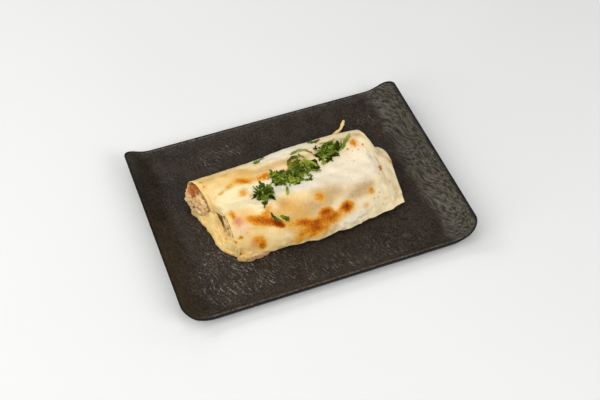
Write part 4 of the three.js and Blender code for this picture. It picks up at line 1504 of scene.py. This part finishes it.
def ground(x: float, y: float) -> float:
    """What a loose leaf or speck lies on.

    Args:
        x: Place along the rolls.
        y: Place across the rolls.

    Returns:
        Height of the food's surface.
    """
    place = Vector((x, y, 0.0))
    on_sheet = y < BACK_ROLL.ridge_y.at(x) + BLANKET.back_edge - 2.0
    place.z = BLANKET.top(x, y) - 0.3 if on_sheet else BACK_ROLL.top(x, y)
    return place.z + skin_relief(place, COATING.at(place))


@dataclass(frozen=True)
class RunOut:
    """Cheese and sauce that ran out of the left ends onto the plate, in mm."""

    outline: tuple[tuple[float, float], ...] = (
        (-85.5, 16.5), (-80.5, 4), (-77.2, -9), (-75.8, -18), (-75, -24), (-73, -30),
        (-68, -36), (-62.5, -41),
    )
    back_x: float = -70.0
    front_x: float = -62.0
    edge: Stations = Stations(((-39, 3.0), (0, 3.2), (9, 6.5), (16.5, 9.0)))
    mouth: Stations = Stations((
        (-39, 11.5), (-33, 13.2), (-28, 12.6), (-22, 11.0), (-15, 11.0), (-9, 13.0), (-2, 13.4),
        (8, 12.5), (14, 12.0), (16.5, 11.0),
    ))
    glob_at: tuple[float, float] = (-68.4, -10.5)
    glob_radii: tuple[float, float] = (3.4, 5.4)
    nose_share: float = 0.14
    tip_share: float = 0.06
    fold_width: float = 3.2
    fold_length: float = 3.4
    fold_height: float = 1.35
    lanes: float = 22.0
    columns: int = 46
    rows: int = 120

    def build(self, kitchen: Kitchen) -> None:
        """Builds and dresses the spill.

        Args:
            kitchen: Finishes the pieces.
        """
        line = [Vector((x, y, 0.0)) for x, y in self.outline]
        bm = bmesh.new()
        white, thin, browned = add_layers(bm, "white", "thin", "browned")
        for vert, share, v, is_upper in slab(bm, self.columns, self.rows):
            point = curve_point(line, 1.0 - v)
            y, inner = point.y, lerp(self.front_x, self.back_x, v)
            x = lerp(point.x, inner, share)
            flow = Vector((x, y, 0.0))
            x += (0.9 * grain(flow, 5.0, 2, 5.0)) * (1.0 - share)
            swell = lerp(self.edge.at(y), self.mouth.at(y), smoothstep(0.05, 0.85, share))
            glob = smoothstep(1.3, 0.3, math.hypot(
                (x - self.glob_at[0]) / self.glob_radii[0], (y - self.glob_at[1]) / self.glob_radii[1],
            ))
            tip = rounded((1.0 - v) / self.tip_share)
            x = lerp(inner, x, 0.45 + 0.55 * tip)
            nose = rounded(share / self.nose_share) * tip
            # Folds run with the flow, which goes around the rolls' ends.
            across = share * (point - Vector((inner, y, 0.0))).length
            lane = Vector((across / self.fold_width, self.lanes * v / self.fold_length, 0.4))
            fold = 1.0 - min(1.0, abs(2.4 * noise.fractal(lane, 0.9, 2.0, 2)))
            rough = self.fold_height * (fold - 0.4) + 0.9 * grain(flow, 5.0, 2, 6.0)
            rough += 0.3 * grain(flow, 1.4, 2, 2.0)
            rough *= smoothstep(0.0, 0.25, share) * smoothstep(0.0, 0.1, 1.0 - v)
            rough = rough * (1.0 - 0.8 * glob) + 0.8 * glob
            z = BED + 0.3 + (swell - 0.6) * nose + rough if is_upper else BED - SUNK
            vert.co = (x, y, max(z, BED - SUNK))
            vert[white] = 0.25 + 0.65 * fold + 0.3 * grain(flow, 6.0, 2, 1.0)
            near_rim = smoothstep(-70.6, -67.8, x) * smoothstep(-32.0, -27.0, y) * smoothstep(-8.0, -13.0, y)
            # The glob in the mouth and the troughs between the folds get painted shade; the strip along the
            # rim gets the same grey-tan.
            vert[thin] = max(0.6 * glob, 0.4 * near_rim, 0.10 * smoothstep(0.5, 0.0, fold))
            spots = smoothstep(0.25, 0.7, grain(flow, 5.0, 2, 9.0))
            vert[browned] = 0.55 * spots * smoothstep(-30.0, -38.0, y)
        kitchen.serve("run_out_cheese", bm, kitchen.finishes.cheese, "melted_cheese", "cheese_ooze")


@dataclass(frozen=True)
class Drip:
    """A small lobe of cheese and juices squeezed out under the front edge, in mm."""

    centre: tuple[float, float] = (-51.0, -42.0)
    radii: tuple[float, float] = (13.8, 5.7)
    height: float = 6.2

    def build(self, kitchen: Kitchen) -> None:
        """Builds and dresses the lobe.

        Args:
            kitchen: Finishes the pieces.
        """
        bm = bmesh.new()
        browned, golden, thin, white, blush = add_layers(bm, *(kind.value for kind in Stain))
        for vert in bmesh.ops.create_uvsphere(bm, u_segments=84, v_segments=40, radius=1.0)["verts"]:
            a, b, c = vert.co
            (x, y), (reach_x, reach_y) = self.centre, self.radii
            flow = Vector((x + reach_x * a, y + reach_y * b, c * self.height))
            uneven = 0.88 + 0.24 * grain(flow, 6.0, 2, 1.0) + 0.22 * grain(flow, 2.4, 3, 3.0)
            z = BED + c * self.height * uneven * lerp(1.0, 0.62, smoothstep(-0.2, 1.0, a))
            vert.co = (flow.x, y + reach_y * b * uneven, max(z, BED - SUNK))
            right = smoothstep(-0.3, 0.4, a)
            vert[white] = 0.25 + 0.6 * right
            streaks = 0.5 * smoothstep(-0.2, 0.4, grain(flow, 3.0, 2, 5.0))
            # Painted shade: the lobe darkens towards its foot on the plate. The streaks are tan where the
            # coat is thin.
            vert[thin] = max(0.95 * smoothstep(6.0, 1.5, z - BED), streaks)
            vert[golden] = 0.15 * smoothstep(0.3, -0.4, a)
            vert[blush] = 0.5 * right * smoothstep(-0.3, 0.3, grain(flow, 4.0, 2, 8.0))
            brown = smoothstep(0.0, 0.5, grain(flow, 4.0, 2, 5.0)) * smoothstep(0.5, -0.2, a)
            vert[browned] = 0.4 * brown * smoothstep(1.0, 3.5, z - BED)
        kitchen.serve("cheese_drip_lobe", bm, kitchen.finishes.skin, "melted_cheese", "cheese_drip")


def on_curve(line: Sequence[Vector], t: float) -> tuple[Vector, Vector]:
    """Returns the point at t on a curve, and the level direction to the side of it."""
    ahead, behind = curve_point(line, min(1.0, t + 0.02)), curve_point(line, max(0.0, t - 0.02))
    return curve_point(line, t), (ahead - behind).cross(UP).normalized()


@dataclass(frozen=True)
class Strand:
    """A pulled strand of cheese behind the back roll, in mm."""

    points: tuple[tuple[float, float, float], ...] = (
        (40, 41.5, 7.6), (47, 48, 7.5), (54, 51.8, 7.5), (60, 54.8, 7.7), (63.5, 58.5, 8.2),
        (66.5, 62.5, 9),
    )
    width: float = 2.6
    thickness: float = 1.9
    around: int = 16
    steps: int = 60
    white: float = 0.95
    thin: float = 0.2

    def build(self, kitchen: Kitchen) -> None:
        """Builds and dresses the strand.

        Args:
            kitchen: Finishes the pieces.
        """
        line = [Vector(point) for point in self.points]
        bm = bmesh.new()
        white, thin, _ = add_layers(bm, "white", "thin", "browned")
        for vert, u, v in unit_grid(bm, self.steps, self.around):
            point, side = on_curve(line, u)
            taper = math.sqrt(max(0.0, 1.0 - (2.0 * abs(u - 0.5)) ** 10))
            uneven = taper * (1.0 + 0.16 * math.sin(17.0 * u) + 0.1 * math.sin(41.0 * u))
            out = side * math.cos(TURN * v) * self.width / 2 * uneven
            vert.co = point + out + UP * math.sin(TURN * v) * self.thickness / 2 * uneven
            vert[white], vert[thin] = self.white, self.thin
        bmesh.ops.remove_doubles(bm, verts=bm.verts, dist=0.001)
        kitchen.serve("cheese_strand_thread", bm, kitchen.finishes.cheese, "melted_cheese", "cheese_strand")


# ------------------------------------------------------------------ parsley


Plan = tuple[float, float]  # a place in plan


@dataclass(frozen=True)
class Ribbon:
    """One cut strip of parsley leaf or stem that lies on the food, in mm."""

    points: tuple[Plan, ...]
    width: float
    fresh: float
    lift: float = 0.8


@dataclass(frozen=True)
class Pile:
    """One heap of chopped parsley, in mm."""

    name: str
    node: str
    centre: Plan
    radii: tuple[float, float]
    turn: float
    bits: int
    fresh: float
    strays: tuple[Plan, ...] = ()
    strips: tuple[Ribbon, ...] = ()
    height: float = 3.4


@dataclass(frozen=True)
class Sprig:
    """One strip that lies by itself with a few small leaf bits, in mm."""

    name: str
    node: str
    strip: Ribbon
    bits: int = 0
    at: Plan = (0.0, 0.0)


# Names, middle, radii, turn in degrees, number of bits, freshness, stray bits and strips.
PILES = (
    Pile("parsley_pile_1", "parsley_heap_1", (-30, -9.0), (6.6, 9.8), -25, 28, 0.34, (
        (-33.5, -17.5), (-23, -4),
    )),
    Pile("parsley_pile_2", "parsley_heap_2", (-8.0, 1.4), (12.2, 5.6), -8, 36, 0.37, ((-1, -4), (-17, 6)), (
        Ribbon(((-10.2, -5.4), (-12.0, -10.5), (-14.2, -17.3)), 1.9, 0.72, 0.5),
        Ribbon(((-18, 7.5), (-12, 3.5), (-5, 0.5)), 1.8, 0.6, 2.6),
    )),
    Pile("parsley_pile_3", "parsley_heap_3", (9.8, 5.6), (11.2, 4.9), -8, 19, 0.44, (
        (4.2, -3.2), (6.6, -4.4), (9.4, -5.2), (2.4, -1.6), (8.0, 15.0), (11.2, -2.4),
    ), (
        Ribbon(((1.8, 19.4), (6.5, 20.9), (11.7, 21.2), (15.8, 18.6), (18.8, 14.9)), 2.2, 0.66, 0.7),
        Ribbon(((-4, 10), (-1.0, 14.6), (3.5, 15.6), (6, 13.5)), 2.3, 0.42, 0.8),
        Ribbon(((5, 8), (12, 4), (20, -1.8)), 2.0, 0.66, 2.4),
        Ribbon(((7, 10), (14, 7.5), (19, 3)), 1.7, 0.8, 2.6),
    )),
    Pile("parsley_pile_4", "parsley_heap_4", (32, 12.5), (10.6, 6.4), 15, 34, 0.36, ((23, 18.5), (40, 17)), (
        Ribbon(((27.8, 22.6), (34.0, 22.6), (41.7, 23.2)), 1.5, 0.78, 0.5),
        Ribbon(((22, 10), (30, 9), (38, 9.5)), 1.8, 0.6, 3.0),
        Ribbon(((20, 16), (27, 13), (34, 10)), 1.6, 0.55, 2.6),
    )),
)

SPRIGS = (
    Sprig("parsley_long_blade", "parsley_blade", Ribbon(
        ((43.2, 11.5), (46.2, 15.0), (50.8, 20.0), (55.4, 25.0)), 2.4, 0.68, 1.0,
    ), 1, (43.5, 12.0)),
    Sprig("parsley_left_bit", "parsley_back_left", Ribbon(
        ((-27.5, 24.0), (-23, 26.2), (-17.5, 28.2)), 1.8, 0.62, 0.7,
    ), 4, (-25.5, 24.2)),
    Sprig("parsley_right_bit", "parsley_back_right", Ribbon(
        ((20.5, 30.5), (26, 30.2), (31, 30)), 2.6, 0.45, 0.6,
    ), 4, (25, 28.5)),
    Sprig("parsley_front_curl", "parsley_chip_left", Ribbon(
        ((-31.6, -27.8), (-31.0, -31.2), (-28.4, -33.8), (-25.8, -34.8)), 1.6, 0.34, 0.5,
    )),
    Sprig("parsley_front_leaf", "parsley_chip_right", Ribbon(
        ((-25.4, -32.0), (-22.6, -33.8), (-19.4, -35.8)), 2.6, 0.5, 0.4,
    ), 1, (-22.6, -34.4)),
)


@dataclass
class Parsley:
    """Chopped parsley: heaps of torn lobed leaf bits, and single strips, in mm."""

    leaf_thickness: float = 0.26
    leaf_points: int = 40
    stem_width: float = 0.9
    stem_shares: tuple[float, ...] = (0.0, 0.35, 0.7, 1.0)
    highest: float = 39.0
    lowest_lift: float = 0.25
    seed: int = 11

    def __post_init__(self) -> None:
        """Starts the chance shapes and the first piece."""
        self.rng = random.Random(self.seed)
        self.start()

    def start(self) -> None:
        """Starts a piece as an empty mesh that carries the leaf colour."""
        self.bm = bmesh.new()
        (self.fresh,) = add_layers(self.bm, "fresh")

    def leaf(self, at: Plan, size: float, lift: float, fresh: float) -> None:
        """Adds one torn, curled leaf bit.

        Args:
            at: Its middle in plan.
            size: Its length in mm.
            lift: Height of its middle over what carries it.
            fresh: Its colour, from deep to pale green.
        """
        bm, uniform = self.bm, self.rng.uniform
        inner = bmesh.ops.create_circle(
            bm, cap_ends=True, cap_tris=True, segments=self.leaf_points, radius=0.5,
        )["verts"]
        ring = {edge for vert in inner for edge in vert.link_edges if edge.is_boundary}
        outer = verts_in(bmesh.ops.extrude_edge_only(bm, edges=list(ring)))
        bmesh.ops.scale(bm, vec=Vector((2.0, 2.0, 1.0)), verts=outer)
        lobes = [(0.0, 1.0)]
        lobes += [(side * uniform(0.9, 1.25), uniform(0.6, 0.95)) for side in (1, -1)]
        lobes.append((self.rng.choice((-1, 1)) * uniform(1.9, 2.3), uniform(0.3, 0.7)))
        lobe_width, slim = uniform(0.46, 0.7), uniform(0.5, 0.9)
        curl, fold = uniform(-0.9, 0.9) / size, self.rng.choice((-1, 1)) * uniform(0.25, 0.75)
        wave, phase = uniform(0.15, 0.5), uniform(0, TURN)
        turn = Matrix.Rotation(uniform(0, TURN), 3, "Z")
        turn = turn @ (
            Matrix.Rotation(self.rng.gauss(0, 0.4), 3, "X") @ Matrix.Rotation(self.rng.gauss(0, 0.4), 3, "Y")
        )
        base = ground(*at) + lift
        for vert in [*inner, *outer]:
            angle, radius = math.atan2(vert.co.y, vert.co.x), vert.co.xy.length
            lobe = max(length * math.exp(-(((angle - way) / lobe_width) ** 2)) for way, length in lobes)
            edge = 0.24 + 0.76 * lobe + 0.08 * math.sin(11.0 * angle + phase)
            reach = radius * edge * (uniform(0.92, 1.08) if radius > 0.75 else 0.9)
            a, b = reach * math.cos(angle) * size / 2, reach * math.sin(angle) * size / 2 * slim
            c = curl * a * a + fold * abs(b) + wave * math.sin(2.2 * a + phase)
            spot = turn @ Vector((a, b, c))
            x, y = at[0] + spot.x, at[1] + spot.y
            vert.co = (x, y, min(self.highest, max(base + spot.z, ground(x, y) + self.lowest_lift)))
            # The margins are painted paler, a painted highlight along the edges.
            vert[self.fresh] = fresh + 0.16 * (radius - 0.5) - 0.05 * abs(math.sin(3.0 * angle))

    def ribbon(self, strip: Ribbon) -> None:
        """Adds one curled strip.

        Args:
            strip: The strip.
        """
        line = [Vector((x, y, 0.0)) for x, y in strip.points]
        phase = self.rng.uniform(0, TURN)
        for vert, u, v in unit_grid(self.bm, 7 * (len(line) - 1), 3):
            point, side = on_curve(line, u)
            taper = math.sqrt(max(0.05, 1 - (2 * abs(u - 0.5)) ** 4))
            tooth = 1.0 + 0.25 * math.sin(23 * u + phase + 5 * v)
            spot = point + side * ((v - 0.5) * strip.width * taper * tooth)
            lift = strip.lift + 0.35 * math.sin(9 * u + phase) + 0.9 * (v - 0.5) * math.sin(4 * u + phase)
            z = min(self.highest, ground(spot.x, spot.y) + max(self.lowest_lift, lift))
            vert.co = (spot.x, spot.y, z)
            vert[self.fresh] = strip.fresh + 0.12 * math.sin(6 * u + phase)

    def stem(self, at: Plan, lift: float) -> None:
        """Adds a short curved cut stem.

        Args:
            at: Where it starts, in plan.
            lift: Height over what carries it.
        """
        uniform = self.rng.uniform
        way, bend, length = uniform(0, TURN), uniform(-0.7, 0.7), uniform(4.0, 7.5)
        points = tuple(
            (at[0] + length * t * math.cos(way + bend * t), at[1] + length * t * math.sin(way + bend * t))
            for t in self.stem_shares
        )
        self.ribbon(Ribbon(points, self.stem_width, uniform(0.6, 0.9), lift + 0.3))

    def serve(self, kitchen: Kitchen, name: str, node: str) -> None:
        """Gives the leaves their thickness, finishes the piece and starts the next.

        Args:
            kitchen: Finishes the piece.
            name: The piece's name.
            node: The CAD node that it replaces.
        """
        bm = self.bm
        bmesh.ops.recalc_face_normals(bm, faces=bm.faces)
        bm.normal_update()
        normals = {vert.co.to_tuple(5): vert.normal.copy() for vert in bm.verts}
        for vert in verts_in(bmesh.ops.extrude_face_region(bm, geom=bm.faces[:])):
            vert.co -= normals[vert.co.to_tuple(5)] * self.leaf_thickness
        kitchen.serve(name, bm, kitchen.finishes.parsley, "parsley_leaf", node)
        self.start()

    def heap(self, pile: Pile) -> None:
        """Adds the leaf bits, stems and strips of one heap.

        Args:
            pile: The heap.
        """
        uniform, angle = self.rng.uniform, math.radians(pile.turn)
        for index in range(pile.bits):
            reach = math.sqrt((index + 0.5) / pile.bits) * uniform(0.85, 1.08)
            way = index * math.pi * (3 - math.sqrt(5)) + uniform(-0.3, 0.3)
            a, b = pile.radii[0] * reach * math.cos(way), pile.radii[1] * reach * math.sin(way)
            at = (
                pile.centre[0] + a * math.cos(angle) - b * math.sin(angle),
                pile.centre[1] + a * math.sin(angle) + b * math.cos(angle),
            )
            lift = 0.6 + uniform(0, 1) * pile.height * (1 - reach * reach * 0.8)
            # Lower bits get painted shade: their green darkens the less they are lifted.
            fresh = min(1.0, max(0.0, self.rng.gauss(pile.fresh, 0.2) + 0.09 * (lift - 1.8)))
            self.leaf(at, uniform(6.5, 11.5), lift, fresh)
            if index % 3 == 2:
                self.stem(at, lift)
        for at in pile.strays:
            self.leaf(at, uniform(5.0, 7.5), 0.7, self.rng.gauss(pile.fresh, 0.1))
        for strip in pile.strips:
            self.ribbon(strip)

    def build(self, kitchen: Kitchen) -> None:
        """Builds and dresses every heap and strip.

        Args:
            kitchen: Finishes the pieces.
        """
        uniform = self.rng.uniform
        for pile in PILES:
            self.heap(pile)
            self.serve(kitchen, pile.name, pile.node)
        for sprig in SPRIGS:
            self.ribbon(sprig.strip)
            for _ in range(sprig.bits):
                spot = (sprig.at[0] + uniform(-1.6, 1.6), sprig.at[1] + uniform(-0.8, 0.8))
                self.leaf(spot, uniform(4.0, 6.0), 0.6, uniform(0.35, 0.65))
            self.serve(kitchen, sprig.name, sprig.node)
        self.bm.free()


# ------------------------------------------------------------------ specks


@dataclass(frozen=True)
class Pepper:
    """Specks of cracked pepper on the sauce, in mm."""

    seed: int = 4
    scattered: int = 36
    lowest: float = 9.0
    flatness: float = 0.45
    # x, y and size of the specks that stand out.
    marked: tuple[tuple[float, float, float], ...] = (
        (61.0, 11.6, 1.7), (47.6, 10.9, 1.6), (68.1, -10.6, 1.2), (55.8, 8.1, 1.1), (50.7, 8.4, 1.0),
        (77.8, 15.8, 1.1), (57.9, -31.3, 1.1), (55.6, -34.1, 1.0), (51.9, -34.7, 1.0), (72.5, -32.1, 1.1),
        (77.1, -32.7, 1.0), (58.3, -37.8, 1.0), (63.0, -17.5, 0.9), (70.0, -24.0, 0.9),
    )

    def build(self, kitchen: Kitchen) -> None:
        """Builds and dresses the specks as one piece.

        Args:
            kitchen: Finishes the pieces.
        """
        rng = random.Random(self.seed)
        spots = list(self.marked)
        for _ in range(self.scattered):
            x = rng.uniform(30, 77) if rng.random() < 0.75 else rng.uniform(-60, 30)
            spots.append((x, rng.uniform(-40, 4), rng.uniform(0.45, 0.8)))
        bm = bmesh.new()
        for x, y, size in spots:
            z = max(ground(x, y), food_top(x, y) - 0.3)
            if z < self.lowest:
                continue
            ball = bmesh.ops.create_icosphere(bm, subdivisions=1, radius=size / 2)["verts"]
            for vert in ball:
                vert.co = vert.co * rng.uniform(0.75, 1.1)
                vert.co.z *= self.flatness
            bmesh.ops.translate(bm, vec=Vector((x, y, z + 0.05)), verts=ball)
        kitchen.serve("pepper_specks", bm, kitchen.finishes.pepper, "baked_pasta")


# ------------------------------------------------------------------ stage


@dataclass(frozen=True)
class Softbox:
    """A soft square light that faces the food, in metres."""

    name: str
    at: tuple[float, float, float]
    size: float
    watts: float
    tint: str = "ffffff"

    def build(self) -> None:
        """Adds the light."""
        data = bpy.data.lights.new(self.name, "AREA")
        data.shape, data.size, data.energy = "SQUARE", self.size, self.watts
        data.color = linear(self.tint)[:3]
        light = link(self.name, data)
        light.location = self.at
        light.rotation_euler = (-Vector(self.at)).to_track_quat("-Z", "Y").to_euler()


@dataclass(frozen=True)
class Studio:
    """White table, soft studio light and the camera, in metres."""

    camera_at: tuple[float, float, float] = (-0.196612, -0.514272, 0.680521)
    right: tuple[float, float, float] = (0.93433, -0.35637, 0.00460)
    up: tuple[float, float, float] = (0.27398, 0.72645, 0.63025)
    back: tuple[float, float, float] = (-0.22794, -0.58760, 0.77638)
    lens: float = 64.93
    floor_size: float = 8.0
    sky: str = "fbfbf8"
    sky_strength: float = 0.03
    softboxes: tuple[Softbox, ...] = (
        Softbox("softbox_above", (-0.35, -0.15, 1.6), 1.4, 10.1),
        Softbox("softbox_front_left", (-1.0, -1.1, 1.1), 1.0, 4.5),
        Softbox("softbox_front_right", (0.7, -1.2, 1.1), 1.0, 12.9, "fafbff"),
        Softbox("softbox_back_left", (-0.9, 0.9, 1.0), 0.7, 6.4),
        Softbox("softbox_back", (0.0, 1.3, 1.1), 1.0, 3.2),
        Softbox("softbox_left", (-1.3, -0.3, 0.6), 0.8, 6.6),
        Softbox("softbox_right", (1.3, 0.2, 0.9), 0.8, 2.0),
    )

    def add_camera(self) -> None:
        """Adds the camera and makes it the scene's."""
        data = bpy.data.cameras.new("camera")
        data.lens, data.sensor_width, data.clip_start, data.clip_end = self.lens, 36.0, 0.01, 50.0
        camera = link("camera", data)
        rows = zip(self.right, self.up, self.back, self.camera_at)
        camera.matrix_world = Matrix([*rows, (0, 0, 0, 1)])
        bpy.context.scene.camera = camera

    def build(self, table: bpy.types.Material) -> None:
        """Sets up the camera, table, lights and background.

        Args:
            table: Finish of the table.
        """
        self.add_camera()
        bm = bmesh.new()
        bmesh.ops.create_grid(bm, x_segments=8, y_segments=8, size=self.floor_size / 2)
        mesh = bpy.data.meshes.new("table")
        bm.to_mesh(mesh)
        bm.free()
        mesh.materials.append(table)
        link("table", mesh)
        for softbox in self.softboxes:
            softbox.build()
        world = bpy.data.worlds.new("studio")
        world.use_nodes = True
        background = world.node_tree.nodes["Background"].inputs
        background["Color"].default_value = linear(self.sky)
        background["Strength"].default_value = self.sky_strength
        bpy.context.scene.world = world
        bpy.context.scene.view_settings.view_transform = "Standard"


# ------------------------------------------------------------------ assembly


def plate_and_food() -> tuple[Any, ...]:
    """Returns the sub-assemblies in the order in which they are built."""
    back, front = BACK_ROLL, FRONT_ROLL
    return (
        ServingPlate(),
        PastaTube(
            "back_pasta_tube", "back_roll_pasta", back, around=112, rings=150, sealed_right=False,
            hollow_right=back.right - PASTA_WALL / 2,
        ),
        PastaTube(
            "front_pasta_tube", "front_roll_pasta", front, around=132, rings=165, sealed_right=True,
            hollow_right=62.0,
        ),
        MeatCore(
            "back_meat_filling", "back_roll_filling", back, left=back.left - 8.2, right=back.right - 1.9,
            dome=11.0,
        ),
        MeatCore(
            "front_meat_filling", "front_roll_filling", front, left=front.left - 0.4, right=60.5, dome=3.2,
            creaminess=0.7,
        ),
        BLANKET, RunOut(), Drip(), Strand(), Parsley(), Pepper(),
    )


def main() -> None:
    """Builds the studio, the plate and the food in order."""
    logging.basicConfig(level=logging.INFO, format="%(name)s %(message)s")
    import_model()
    finishes = Finishes()
    Studio().build(finishes.table)
    kitchen = Kitchen(finishes)
    for part in plate_and_food():
        part.build(kitchen)


if __name__ == "__main__":
    main()
